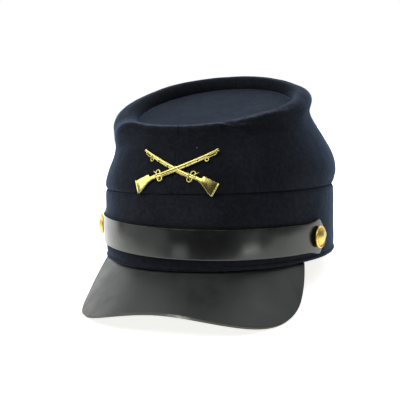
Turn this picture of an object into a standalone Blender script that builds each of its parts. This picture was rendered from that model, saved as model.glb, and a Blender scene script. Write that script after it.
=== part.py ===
"""A kepi cap in wool, leather and brass: a leaning crown with a round top sunk inside a rolled rim, a drooping
peak, a strap across the front held by two domed side buttons, and a badge of two crossed long guns.

The cap's own frame has its front along -Y and its hem in the plane z = 0. An empty tips the finished cap back,
so that it rests on the two lobes of its peak and on the back of its hem. Metres, +Z up.
"""

import math

import bmesh
import bpy
from mathutils import Matrix, Vector

# Hem and band
HEM_LENGTH = 0.2070
HEM_WIDTH = 0.1720
BAND_HEIGHT = 0.0510
BAND_WALL = 0.0028
BAND_EDGE_ROUND = 0.0011
HEM_FLAT = 0.0008

# Crown: two panels that meet at the front and the back, roll over the rim and go down to the top. The front
# seam leans: its foot and its head lie this far to the wearer's left of the middle.
CROWN_WALL = 0.0020
CROWN_FULLNESS = 0.0100
SEAM_FOOT_ASIDE = 0.0015
SEAM_HEAD_ASIDE = -0.0034
RIM_WIDTH = 0.1514
RIM_HEIGHT = 0.1180
RIM_FORWARD = 0.0148
TOP_TILT = math.radians(19.0)
ROLL_OUTER = 0.0095
ROLL_INNER = 0.0068
TOP_SINK = 0.0098
TOP_WALL = 0.0020
TOP_SAG = 0.0012
FOLD_DEPTH = 0.0040
FOLD_REACH = 0.0300

# Peak
PEAK_WALL = 0.0021
PEAK_REACH = 0.0320
PEAK_WIDTH = 0.1575
PEAK_SIDE = 0.0220
PEAK_SPREAD = math.radians(62.0)
PEAK_SLOPE = math.radians(32.5)
PEAK_DROOP = 0.0035
PEAK_UNDER_HEM = 0.0012
PEAK_BOXINESS = 2.35

# Strap and side buttons
STRAP_WIDTH = 0.0200
STRAP_WALL = 0.0020
STRAP_HEIGHT = 0.0187
STRAP_SLANT = 0.0030
STRAP_LIFT = 0.0010
BUTTON_TURN = math.radians(70.0)
BUTTON_LEAN_LEFT = math.radians(4.5)
BUTTON_LEAN_RIGHT = math.radians(-12.0)
BUTTON_STAND_OFF_LEFT = 0.0008
BUTTON_STAND_OFF_RIGHT = 0.0016
BUTTON_WIDTH = 0.0160
BUTTON_DOME = 0.0038
BUTTON_RIM = 0.0018
SHANK_WIDTH = 0.0030
SHANK_HEAD_WIDTH = 0.0070
SHANK_HEAD_WALL = 0.0010

# Badge of two crossed guns, soldered where they cross, with a post behind each barrel. The upper gun has its
# muzzle at the wearer's left; the crossing lies a little to the wearer's left of the middle.
GUN_LENGTH = 0.0590
GUN_TURN_UPPER = math.radians(23.5)
GUN_TURN_LOWER = math.radians(27.0)
GUN_WALL = 0.0011
GUN_STEP = 0.0006
RING_BACK = 0.0001
RING_FACE = 0.0009
BARREL_WIDTH = 0.0026
BADGE_ASIDE = 0.0010
BADGE_RISE = 0.0170
POST_WIDTH = 0.0014
POST_PAST_WALL = 0.0010
BADGE_WELD = 0.00004

# Gap between pieces that touch, and the gap of a pin in its hole
CLEARANCE = 0.0003
PIN_CLEARANCE = 0.0003

# Steps round the cap, across the peak and round small turned pieces
ROUND_STEPS = 64
PEAK_STEPS = 40
TURNED_STEPS = 20

# Crown side from the band (rise 0) to the rim (rise 1): how far it stands out, in shares of CROWN_FULLNESS
CROWN_SECTIONS = (
    # rise, front, wearer's left, back, wearer's right
    (0.00, -0.12, -0.12, -0.12, -0.12),
    (0.06, 0.06, 0.12, 0.18, 0.05),
    (0.17, 0.16, 0.42, 0.50, 0.10),
    (0.34, 0.16, 0.46, 0.62, 0.02),
    (0.55, 0.06, 0.14, 0.36, -0.20),
    (0.72, -0.02, -0.16, 0.08, -0.26),
    (0.86, -0.06, -0.30, -0.12, -0.14),
    (1.00, 0.00, 0.00, 0.00, 0.00),
)

# Folds and dents of the crown. Turn is in degrees round from the front, positive to the wearer's left; rise goes
# on past 1 over the roll; reach and breadth are shares of FOLD_REACH, depth a share of FOLD_DEPTH, out positive.
CROWN_FOLDS = (
    # turn, rise, reach, breadth, slant in degrees, depth
    (38.0, 0.90, 0.62, 0.16, -14.0, -0.75),
    (30.0, 1.10, 0.70, 0.16, -10.0, 0.35),
    (-42.0, 1.35, 0.55, 0.20, 24.0, 0.55),
    (-34.0, 0.85, 0.50, 0.20, 12.0, -0.35),
    (-72.0, 0.62, 0.60, 0.40, 10.0, -0.40),
    (-96.0, 0.85, 0.80, 0.50, 20.0, 0.30),
    (104.0, 0.80, 0.90, 0.35, -8.0, -0.35),
    (150.0, 0.45, 1.10, 0.50, 25.0, -0.50),
    (-140.0, 0.50, 1.00, 0.45, -20.0, -0.45),
    (178.0, 0.72, 0.90, 0.45, 0.0, 0.40),
)

# How the rolled rim leaves a plain tilted ring: shares of ROLL_OUTER outwards and upwards, and how round the
# outer half of the roll is as a share of ROLL_OUTER, by turn in degrees. The cloth is drawn tight at the front.
RIM_SHAPE = (
    # turn, out, up, roundness
    (-135.0, 0.05, -0.15, 1.00),
    (-90.0, 0.17, -0.35, 1.00),
    (-60.0, 0.32, -0.38, 0.90),
    (-30.0, 0.12, 0.10, 0.50),
    (0.0, 0.00, 0.20, 0.42),
    (45.0, -0.08, 0.24, 0.44),
    (90.0, -0.25, -0.10, 0.85),
    (135.0, -0.15, -0.30, 1.00),
    (180.0, 0.00, -0.20, 1.00),
)

# Strap end: distance past the button and half width, in shares of STRAP_WIDTH, from the point inwards
STRAP_END = (
    # past the button, half width
    (0.74, 0.04),
    (0.44, 0.34),
    (0.16, 0.62),
    (-0.05, 0.59),
    (-0.30, 0.53),
    (-0.60, 0.50),
)

# Button face from its centre outwards: share of the half width, and height as shares of the dome and the rim
BUTTON_FACE = (
    # out, dome, rim
    (0.00, 1.00, 0.00),
    (0.25, 0.93, 0.00),
    (0.50, 0.74, 0.00),
    (0.70, 0.49, 0.00),
    (0.80, 0.36, 0.10),
    (0.85, 0.00, 0.90),
    (0.91, 0.00, 1.00),
    (0.97, 0.00, 0.80),
    (1.00, 0.00, 0.42),
    (0.96, 0.00, 0.10),
    (0.88, 0.00, 0.00),
)

# Outline of one gun of the badge, in shares of GUN_LENGTH: along from the butt to the muzzle, and across with the
# lock side up
GUN_OUTLINE = (
    # along, across
    (0.000, -0.097),
    (0.014, -0.100),
    (0.120, -0.046),
    (0.235, -0.008),
    (0.320, -0.024),
    (0.500, -0.030),
    (0.985, -0.021),
    (1.000, -0.012),
    (1.000, 0.010),
    (0.985, 0.017),
    (0.500, 0.017),
    (0.340, 0.020),
    (0.250, 0.030),
    (0.196, 0.030),
    (0.184, 0.038),
    (0.190, 0.060),
    (0.175, 0.067),
    (0.000, 0.054),
)

# Open rings soldered to each gun, in the same shares: trigger guard, lock and sling swivel
GUN_RINGS = (
    # along, across, radius, half wire
    (0.300, -0.034, 0.026, 0.0080),
    (0.300, 0.043, 0.024, 0.0080),
    (0.845, -0.040, 0.019, 0.0070),
)


def new_collection(name):
    """A collection of this name in the scene."""
    collection = bpy.data.collections.new(name)
    bpy.context.scene.collection.children.link(collection)
    return collection


def material(name, colour, roughness, metallic=0.0):
    """A plain Principled material."""
    made = bpy.data.materials.new(name)
    made.use_nodes = True
    shader = made.node_tree.nodes["Principled BSDF"]
    shader.inputs["Base Color"].default_value = (*colour, 1.0)
    shader.inputs["Roughness"].default_value = roughness
    shader.inputs["Metallic"].default_value = metallic
    return made


def mesh_object(name, bm, finish, collection):
    """A new object made from a bmesh, with its faces turned out, shaded smooth up to 40 degrees."""
    bmesh.ops.recalc_face_normals(bm, faces=bm.faces)
    mesh = bpy.data.meshes.new(name)
    bm.to_mesh(mesh)
    bm.free()
    mesh.shade_smooth()
    mesh.set_sharp_from_angle(angle=math.radians(40.0))
    mesh.materials.append(finish)
    made = bpy.data.objects.new(name, mesh)
    collection.objects.link(made)
    return made


def loft(rings, closed):
    """A surface through rows of points, as a bmesh; a closed row goes round, and rows that meet are welded."""
    bm = bmesh.new()
    rows = [[bm.verts.new(point) for point in ring] for ring in rings]
    count = len(rows[0])
    for lower, upper in zip(rows, rows[1:]):
        for i in range(count if closed else count - 1):
            j = (i + 1) % count
            bm.faces.new((lower[i], lower[j], upper[j], upper[i]))
    bmesh.ops.remove_doubles(bm, verts=bm.verts, dist=1e-6)
    return bm


def shell(name, rings, closed, wall, offset, finish, collection):
    """A wall of this thickness on a lofted surface; offset -1 grows it against the surface's normals, 1 along."""
    made = mesh_object(name, loft(rings, closed), finish, collection)
    solid = made.modifiers.new("Wall", "SOLIDIFY")
    solid.thickness = wall
    solid.offset = offset
    solid.use_even_offset = True
    return made


def baked(source, name):
    """A bmesh of the object as its modifiers leave it."""
    bpy.context.view_layer.update()
    graph = bpy.context.evaluated_depsgraph_get()
    mesh = bpy.data.meshes.new_from_object(source.evaluated_get(graph))
    mesh.name = name
    bm = bmesh.new()
    bm.from_mesh(mesh)
    bpy.data.meshes.remove(mesh)
    return bm


def cut_away(bm, point, normal):
    """Cuts off what lies on the normal's side of a plane, and closes each hole that the cut leaves."""
    everything = bm.verts[:] + bm.edges[:] + bm.faces[:]
    cut = bmesh.ops.bisect_plane(
        bm, geom=everything, dist=1e-6, plane_co=point, plane_no=normal, clear_outer=True
    )
    rims = [item for item in cut["geom_cut"] if isinstance(item, bmesh.types.BMEdge)]
    bmesh.ops.holes_fill(bm, edges=rims, sides=0)


def drilled(target, cutter):
    """Cuts the cutter's shape out of the target."""
    hole = target.modifiers.new("Hole for " + cutter.name, "BOOLEAN")
    hole.operation = "DIFFERENCE"
    hole.object = cutter


def cylinder_cutter(name, place, width, length, cutters):
    """A hidden cylinder on the place's Z axis, running this far to both sides of its origin."""
    bm = bmesh.new()
    bmesh.ops.create_cone(
        bm,
        cap_ends=True,
        segments=TURNED_STEPS // 2,
        radius1=width / 2,
        radius2=width / 2,
        depth=2 * length,
    )
    mesh = bpy.data.meshes.new(name)
    bm.to_mesh(mesh)
    bm.free()
    cutter = bpy.data.objects.new(name, mesh)
    cutter.matrix_world = place
    cutter.display_type = "WIRE"
    cutter.hide_render = True
    cutters.objects.link(cutter)
    return cutter


def row_at(rows, at):
    """The row of a table at this value of its first column, straight between its neighbours."""
    high = next((number for number in range(1, len(rows)) if at <= rows[number][0]), len(rows) - 1)
    low, high = rows[high - 1], rows[high]
    share = (at - low[0]) / (high[0] - low[0])
    return [a + (b - a) * share for a, b in zip(low[1:], high[1:])]


def round_row_at(rows, degrees):
    """The row of a table that goes round the cap by degrees of turn, eased between its neighbours."""
    last = rows[-1][0]
    degrees = (degrees - last) % 360 + last
    rows = (rows[-1],) + tuple((row[0] + 360, *row[1:]) for row in rows)
    low, high = next(pair for pair in zip(rows, rows[1:]) if degrees <= pair[1][0])
    share = (degrees - low[0]) / (high[0] - low[0])
    share *= share * (3 - 2 * share)
    return [a + (b - a) * share for a, b in zip(low[1:], high[1:])]


def hem_point(turn, height, grow=0.0):
    """A point on the hem's ellipse, grown by this much, at this height; turn 0 is the front."""
    across = (HEM_WIDTH / 2 + grow) * math.sin(turn)
    forward = (HEM_LENGTH / 2 + grow) * math.cos(turn)
    return Vector((across, -forward, height))


def hem_normal(turn):
    """The level direction straight out of the hem's ellipse."""
    return Vector((HEM_LENGTH * math.sin(turn), -HEM_WIDTH * math.cos(turn), 0)).normalized()


def hem_rate(turn):
    """The length of hem that one radian of turn covers here."""
    return math.hypot(HEM_WIDTH / 2 * math.cos(turn), HEM_LENGTH / 2 * math.sin(turn))


def rim_axes(turn):
    """The crest's centre, and the directions straight out from it in the tilted top's plane, and up."""
    back = Vector((0, math.cos(TOP_TILT), math.sin(TOP_TILT)))
    up = Vector((0, -math.sin(TOP_TILT), math.cos(TOP_TILT)))
    out = Vector((math.sin(turn), 0, 0)) - back * math.cos(turn)
    return Vector((0, -RIM_FORWARD, RIM_HEIGHT)), out, up


def rim_point(turn, rise):
    """The rolled rim, from its outer shoulder (rise 1) over its crest (rise 2) to the top's edge (rise 3)."""
    centre, out, up = rim_axes(turn)
    shift_out, shift_up, roundness = round_row_at(RIM_SHAPE, math.degrees(turn))
    outer = ROLL_OUTER * roundness
    crest = RIM_WIDTH / 2 - outer
    if rise <= 2:
        arc = (rise - 1) * math.pi / 2
        radius = crest + outer * math.cos(arc)
        height = outer * (math.sin(arc) - 1)
    else:
        arc = (rise - 2) * math.pi / 2
        radius = crest - (ROLL_INNER + ROLL_OUTER - outer) * math.sin(arc)
        height = (TOP_SINK + TOP_WALL) * (math.cos(arc) - 1)
    hold = 1 - max(rise - 2, 0)
    radius += shift_out * ROLL_OUTER * hold
    height += shift_up * ROLL_OUTER * hold
    return centre + out * radius + up * height


def crown_base(turn, rise):
    """The crown without its folds, from the band (rise 0) to the top's edge (rise 3)."""
    if rise >= 1:
        return rim_point(turn, rise)
    low = hem_point(turn, BAND_HEIGHT + CLEARANCE)
    high = rim_point(turn, 1.0)
    front, left, back, right = row_at(CROWN_SECTIONS, rise)
    mean = (front + left + back + right) / 4
    out = (
        mean
        + (front - back) / 2 * math.cos(turn)
        + (left - right) / 2 * math.sin(turn)
        + (front + back - left - right) / 4 * math.cos(2 * turn)
    )
    radial = Vector((math.sin(turn), -math.cos(turn), 0))
    return low.lerp(high, rise) + radial * (out * CROWN_FULLNESS)


def crown_normal(turn, rise):
    """Straight out of the crown, from two steps along its surface."""
    step = 0.01
    over = min(rise + step, 3.0) - max(rise - step, 0.0)
    lower = crown_base(turn, max(rise - step, 0.0))
    upper = crown_base(turn, max(rise - step, 0.0) + over)
    side = crown_base(turn + step, rise) - crown_base(turn - step, rise)
    return side.cross(upper - lower).normalized()


def fold_depth(turn, rise):
    """How far the folds push the crown out or in at this place."""
    total = 0.0
    for fold_turn, fold_rise, reach, breadth, slant, depth in CROWN_FOLDS:
        apart = math.remainder(turn - math.radians(fold_turn), 2 * math.pi)
        tall = side_length(turn) if rise < 1 else ROLL_OUTER * math.pi / 2
        across = apart * RIM_WIDTH / 2
        upward = (rise - fold_rise) * tall
        lean = math.radians(slant)
        along = across * math.cos(lean) + upward * math.sin(lean)
        beside = upward * math.cos(lean) - across * math.sin(lean)
        falloff = (along / (reach * FOLD_REACH)) ** 2 + (beside / (breadth * FOLD_REACH)) ** 2
        total += depth * FOLD_DEPTH * math.exp(-falloff)
    edge = min(rise / 0.12, 1.0) * min(max((2.9 - rise) / 0.7, 0.0), 1.0)
    return total * edge * loose_share(turn, rise)


def side_length(turn):
    """The straight length of the crown's side here, from the band to the rolled rim's shoulder."""
    return (crown_base(turn, 1.0) - crown_base(turn, 0.0)).length


def loose_share(turn, rise):
    """How freely the cloth folds here: not at all behind the stiff badge, fully a little way from it."""
    across = math.remainder(turn, 2 * math.pi) * (HEM_WIDTH + RIM_WIDTH) / 4
    upward = rise * side_length(turn) - BADGE_RISE
    reach = GUN_LENGTH / 2
    out = math.hypot(across / reach, upward / (0.62 * reach)) - 1.05
    return min(max(out / 0.35, 0.0), 1.0)


def crown_point(turn, rise):
    """The crown's outer surface with its folds."""
    return crown_base(turn, rise) + crown_normal(turn, rise) * fold_depth(turn, rise)


def turns(steps, start=-math.pi, end=math.pi, last=False):
    """Even steps of turn, leaving out the last where it is the first again."""
    return [start + (end - start) * i / steps for i in range(steps + (1 if last else 0))]


def strap_height(turn):
    """The height of the strap's middle above the hem, lifted to its ends and lower at the wearer's left."""
    side = math.sin(turn) / math.sin(BUTTON_TURN)
    return STRAP_HEIGHT - STRAP_SLANT * side + STRAP_LIFT * side**2


def button_lean(side):
    """How far the button of this side leans to the back."""
    return BUTTON_LEAN_LEFT if side > 0 else BUTTON_LEAN_RIGHT


def button_outside(side):
    """How far outside the band the underside of this side's button lies."""
    return 2 * CLEARANCE + STRAP_WALL + (BUTTON_STAND_OFF_LEFT if side > 0 else BUTTON_STAND_OFF_RIGHT)


def button_place(side, outside):
    """A matrix with its Z axis out through a button, which leans on its strap, its origin outside the band."""
    turn = side * BUTTON_TURN
    out = Matrix.Rotation(side * button_lean(side), 3, "Z") @ hem_normal(turn)
    across = Vector((0, 0, 1)).cross(out)
    axes = Matrix((across, out.cross(across), out)).transposed().to_4x4()
    return Matrix.Translation(hem_point(turn, strap_height(turn)) + out * outside) @ axes


def make_band(wool, collection, button_holes):
    """The lower band: a closed section with rounded outer edges, carried round the hem."""
    top = BAND_HEIGHT - CLEARANCE
    edge = BAND_EDGE_ROUND
    section = (
        # height, grown
        (0.0, -edge),
        (0.35 * edge, -0.3 * edge),
        (1.6 * edge, 0.0),
        (top - 1.6 * edge, 0.0),
        (top - 0.35 * edge, -0.3 * edge),
        (top, -edge),
        (top, -BAND_WALL),
        (0.0, -BAND_WALL),
    )
    rings = [[hem_point(turn, height, grow) for turn in turns(ROUND_STEPS)] for height, grow in section]
    band = mesh_object("band", loft(rings + rings[:1], True), wool, collection)
    for hole in button_holes:
        drilled(band, hole)
    return band


def make_crown(wool, collection, post_holes):
    """The two panels of the crown, cut from one shell along the middle, with holes for the badge's posts."""
    rises = (0.0, 0.06, 0.17, 0.34, 0.50, 0.64, 0.76, 0.88, 1.0, 1.3, 1.6, 1.85, 2.1, 2.35, 2.65, 3.0)
    rings = [[crown_point(turn, rise) for turn in turns(ROUND_STEPS)] for rise in rises]
    whole = shell("crown", rings, True, CROWN_WALL, -1.0, wool, collection)
    for hole in post_holes:
        drilled(whole, hole)
    foot = crown_base(0.0, 0.0) + Vector((SEAM_FOOT_ASIDE, 0, 0))
    head = crown_base(0.0, 2.0) + Vector((SEAM_HEAD_ASIDE, 0, 0))
    rear = (crown_base(math.pi, 0.0) + crown_base(math.pi, 2.0)) / 2
    left = (rear - foot).cross(head - foot).normalized()
    for name, side in (("crown_left", 1), ("crown_right", -1)):
        bm = baked(whole, name)
        cut_away(bm, foot + left * side * CLEARANCE / 2, -left * side)
        mesh_object(name, bm, wool, collection)
    bpy.data.objects.remove(whole)


def make_top(wool, collection):
    """The round top, a turned plate that sags a little, sunk inside the roll."""
    centre, _, up = rim_axes(0.0)
    radius = RIM_WIDTH / 2 - ROLL_OUTER - ROLL_INNER - CLEARANCE
    shares = (0.0, 0.5, 1.0)
    upper = [(radius * share, -TOP_SAG * (1 - share**2)) for share in shares]
    lower = [(out, height - TOP_WALL) for out, height in reversed(upper)]
    top = turned("top_disc", upper + lower, ROUND_STEPS, wool, collection)
    top.location = centre - up * TOP_SINK
    top.rotation_euler = (TOP_TILT, 0, 0)
    return top


def turned(name, profile, steps, finish, collection):
    """A solid turned round Z from a profile of (radius, height) points."""
    bm = bmesh.new()
    points = [bm.verts.new((radius, 0, height)) for radius, height in profile]
    for first, second in zip(points, points[1:]):
        bm.edges.new((first, second))
    mesh = bpy.data.meshes.new(name)
    bm.to_mesh(mesh)
    bm.free()
    mesh.materials.append(finish)
    made = bpy.data.objects.new(name, mesh)
    collection.objects.link(made)
    screw = made.modifiers.new("Turn", "SCREW")
    screw.steps = steps
    screw.render_steps = steps
    screw.use_merge_vertices = True
    screw.merge_threshold = 1e-6
    screw.use_smooth_shade = True
    return made


def peak_height(across, forward):
    """The height of the peak's sheet, which slopes down and bends down at both sides."""
    reach = HEM_LENGTH / 2
    end = hem_point(PEAK_SPREAD, 0.0)
    bend = 2 * math.tan(PEAK_SLOPE) * (reach + end.y) / end.x**2
    return math.tan(PEAK_SLOPE) * (forward + reach) - bend * across**2 / 2


def peak_edge(share):
    """The plan of the peak's free edge: from the hem out along the side, then round the lobe to the front."""
    root = hem_point(PEAK_SPREAD, 0.0)
    side_share = 0.16
    past = (abs(share) - (1 - side_share)) / side_share
    if past > 0:
        ease = 1 - past**2
        across = root.x + (PEAK_WIDTH / 2 - root.x) * ease
        return math.copysign(across, share), root.y - PEAK_SIDE * (1 - past)
    lobe = share / (1 - side_share) * math.pi / 2
    across = PEAK_WIDTH / 2 * math.copysign(abs(math.sin(lobe)) ** (2 / PEAK_BOXINESS), share)
    start = root.y - PEAK_SIDE
    return across, start - (HEM_LENGTH / 2 + PEAK_REACH + start) * math.cos(lobe)


def peak_point(share, out):
    """The peak's upper surface: share goes from one side to the other, out from the hem to the free edge."""
    inner = hem_point(share * PEAK_SPREAD, 0.0, -PEAK_UNDER_HEM)
    across, forward = peak_edge(share)
    x = inner.x + (across - inner.x) * out
    y = inner.y + (forward - inner.y) * out
    step = peak_height(inner.x, inner.y)
    droop = PEAK_DROOP * abs(across / (PEAK_WIDTH / 2)) ** 4 * out
    end = min((1 - abs(share)) / 0.2, 1.0)
    return Vector((x, y, peak_height(x, y) - step * (1 - out) ** 2 - droop * end - CLEARANCE))


def make_peak(leather, collection):
    """The leather peak, one sheet that starts under the hem."""
    outs = (0.0, 0.12, 0.3, 0.5, 0.7, 0.86, 1.0)
    shares = [-1 + 2 * i / PEAK_STEPS for i in range(PEAK_STEPS + 1)]
    rings = [[peak_point(share, out) for share in shares] for out in outs]
    return shell("peak", rings, False, PEAK_WALL, -1.0, leather, collection)


def strap_stations():
    """The strap's columns from one point to the other: turn and half width."""
    rate = hem_rate(BUTTON_TURN)
    ends = [(BUTTON_TURN + past * STRAP_WIDTH / rate, half * STRAP_WIDTH) for past, half in STRAP_END]
    inner = ends[-1][0]
    middle = [(turn, STRAP_WIDTH / 2) for turn in turns(ROUND_STEPS // 3, -inner, inner, True)]
    return [(-turn, half) for turn, half in ends] + middle[1:-1] + list(reversed(ends))


def make_strap(leather, collection, button_holes):
    """The leather strap across the front, pointed past its buttons."""
    stations = strap_stations()
    rings = []
    for level in (-1.0, -0.34, 0.34, 1.0):
        row = []
        for turn, half in stations:
            row.append(hem_point(turn, strap_height(turn) + level * half, CLEARANCE))
        rings.append(row)
    strap = shell("chin_strap", rings, False, STRAP_WALL, 1.0, leather, collection)
    for hole in button_holes:
        drilled(strap, hole)
    return strap


def make_button(name, side, brass, collection):
    """A domed button with a raised rim, and a shank with a flat head inside the band."""
    half = BUTTON_WIDTH / 2
    face = [(half * out, dome * BUTTON_DOME + rim * BUTTON_RIM) for out, dome, rim in BUTTON_FACE]
    outside = button_outside(side)
    reach = outside + BAND_WALL + 2 * CLEARANCE + SHANK_HEAD_WIDTH / 2 * math.tan(abs(button_lean(side)))
    shank = [
        (SHANK_WIDTH / 2, 0.0),
        (SHANK_WIDTH / 2, -reach),
        (SHANK_HEAD_WIDTH / 2, -reach),
        (SHANK_HEAD_WIDTH / 2, -reach - SHANK_HEAD_WALL),
        (0.0, -reach - SHANK_HEAD_WALL),
    ]
    button = turned(name, face + shank, TURNED_STEPS, brass, collection)
    button.matrix_world = button_place(side, outside)
    return button


def gun_turn(side):
    """The slope of one gun; side 1 is the upper one, with its muzzle at the right."""
    return GUN_TURN_UPPER if side > 0 else GUN_TURN_LOWER


def gun_spot(side, along, across):
    """The flat place of a spot on one gun, given in shares of its length; side 1 has its muzzle at the right."""
    spot = Vector(((along - 0.5) * GUN_LENGTH, across * GUN_LENGTH, 0))
    spot.rotate(Matrix.Rotation(gun_turn(side), 3, "Z"))
    return Vector((side * spot.x, spot.y, 0))


def badge_sheet(spot):
    """The crown's place and normal behind a flat spot of the badge; below the crown it goes straight on."""
    lowest = 0.08
    radius = (HEM_WIDTH + RIM_WIDTH) / 4
    turn = (spot.x + BADGE_ASIDE) / radius
    side = side_length(0.0)
    rise = (BADGE_RISE + spot.y) / side
    held = max(rise, lowest)
    place = crown_base(turn, held)
    if rise < lowest:
        down = crown_base(turn, lowest) - crown_base(turn, 2 * lowest)
        place += down.normalized() * (lowest - rise) * side
    return place, crown_normal(turn, held)


def badge_point(spot):
    """A flat point of the badge, its height above the back as z, bent round the crown."""
    place, out = badge_sheet(spot)
    return place + out * (CLEARANCE + spot.z)


def gun_solids(side, lift):
    """The flat solids of one gun: its plate, barrel, three open rings and post."""
    plate = bmesh.new()
    outline = [plate.verts.new(gun_spot(side, along, across)) for along, across in GUN_OUTLINE]
    raised = bmesh.ops.extrude_face_region(plate, geom=[plate.faces.new(outline)])
    tops = [item for item in raised["geom"] if isinstance(item, bmesh.types.BMVert)]
    bmesh.ops.translate(plate, verts=tops, vec=(0, 0, GUN_WALL))
    solids = [plate]
    level = Matrix.Translation((0, 0, GUN_WALL))
    angle = gun_turn(side) if side > 0 else math.pi - gun_turn(side)
    lying = Matrix.Rotation(angle, 4, "Z") @ Matrix.Rotation(math.pi / 2, 4, "Y")
    barrel = bmesh.new()
    bmesh.ops.create_cone(
        barrel,
        cap_ends=True,
        segments=8,
        radius1=BARREL_WIDTH / 2,
        radius2=BARREL_WIDTH / 3,
        depth=0.66 * GUN_LENGTH,
        matrix=Matrix.Translation(gun_spot(side, 0.655, -0.004)) @ level @ lying,
    )
    solids.append(barrel)
    for along, across, radius, wire in GUN_RINGS:
        ring = bmesh.new()
        corners = [
            ring.verts.new(((radius + grow * wire) * GUN_LENGTH, 0, height))
            for grow, height in ((-1, RING_BACK), (1, RING_BACK), (1, RING_FACE), (-1, RING_FACE))
        ]
        for first, second in zip(corners, corners[1:] + corners[:1]):
            ring.edges.new((first, second))
        bmesh.ops.spin(
            ring,
            geom=ring.verts[:] + ring.edges[:],
            axis=(0, 0, 1),
            angle=2 * math.pi,
            steps=TURNED_STEPS // 2,
            use_merge=True,
        )
        ring.transform(Matrix.Translation(gun_spot(side, along, across)))
        solids.append(ring)
    for solid in solids:
        solid.transform(Matrix.Translation((0, 0, lift)))
    post = bmesh.new()
    length = CLEARANCE + CROWN_WALL + POST_PAST_WALL
    top = lift + GUN_WALL / 2
    bmesh.ops.create_cone(
        post,
        cap_ends=True,
        segments=TURNED_STEPS // 3,
        radius1=POST_WIDTH / 2,
        radius2=POST_WIDTH / 2,
        depth=length + top,
        matrix=Matrix.Translation(post_spot(side) + Vector((0, 0, (top - length) / 2))),
    )
    solids.append(post)
    return solids


def post_spot(side):
    """The flat place of the post behind one gun's barrel."""
    return gun_spot(side, 0.74, -0.006)


def post_place(side):
    """A matrix with its Z axis along a post."""
    place, out = badge_sheet(post_spot(side))
    across = Vector((0, 0, 1)).cross(out).normalized()
    axes = Matrix((across, out.cross(across), out)).transposed().to_4x4()
    return Matrix.Translation(place) @ axes


def sliced(bm, point, normal):
    """Adds edges where a plane crosses the mesh, so that it can bend there."""
    everything = bm.verts[:] + bm.edges[:] + bm.faces[:]
    bmesh.ops.bisect_plane(bm, geom=everything, dist=1e-6, plane_co=point, plane_no=normal)


def make_badge(brass, collection, cutters):
    """The badge: flat solids fused into one, sliced finely and bent round the crown."""
    parts = []
    for side, lift in ((1, GUN_STEP), (-1, 0.0)):
        for solid in gun_solids(side, lift):
            parts.append(mesh_object("badge_part", solid, brass, cutters))
    flat = parts[0]
    for other in parts[1:]:
        joined = flat.modifiers.new("Solder", "BOOLEAN")
        joined.operation = "UNION"
        joined.object = other
    bm = baked(flat, "badge")
    for part in parts:
        bpy.data.objects.remove(part)
    slices = 12
    for number in range(-slices, slices):
        sliced(bm, Vector(((number + 0.43) * GUN_LENGTH / 2 / slices, 0, 0)), Vector((1, 0, 0)))
    for rise, *_ in CROWN_SECTIONS:
        sliced(bm, Vector((0, rise * side_length(0.0) - BADGE_RISE, 0)), Vector((0, 1, 0)))
    bmesh.ops.remove_doubles(bm, verts=bm.verts, dist=BADGE_WELD)
    bmesh.ops.dissolve_degenerate(bm, edges=bm.edges, dist=BADGE_WELD)
    bmesh.ops.triangulate(bm, faces=bm.faces[:])
    for vert in bm.verts:
        vert.co = badge_point(vert.co)
    return mesh_object("badge", bm, brass, collection)


def points_of(objects):
    """All the points of these objects as their modifiers leave them, in world space."""
    bpy.context.view_layer.update()
    graph = bpy.context.evaluated_depsgraph_get()
    found = []
    for item in objects:
        mesh = item.evaluated_get(graph).to_mesh()
        found += [item.matrix_world @ vert.co for vert in mesh.vertices]
        item.evaluated_get(graph).to_mesh_clear()
    return found


def lowest(points, pitch):
    """The lowest height of these points once the cap is pitched."""
    return min(point.y * math.sin(pitch) + point.z * math.cos(pitch) for point in points)


def rest_pitch(band, peak):
    """The pitch at which the peak's lobes are as low as the hem's back, pressed flat by HEM_FLAT."""
    band_points = points_of([band])
    peak_points = points_of([peak])
    low, high = math.radians(-30.0), 0.0
    for _ in range(40):
        middle = (low + high) / 2
        if lowest(band_points, middle) + HEM_FLAT > lowest(peak_points, middle):
            high = middle
        else:
            low = middle
    return high, lowest(peak_points, high)


def flattened(band, pitch, floor, wool, collection):
    """The band with the back of its hem pressed flat on the floor."""
    bm = baked(band, "band")
    bpy.data.objects.remove(band)
    up = Vector((0, math.sin(pitch), math.cos(pitch)))
    cut_away(bm, up * floor, -up)
    return mesh_object("band", bm, wool, collection)


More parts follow.
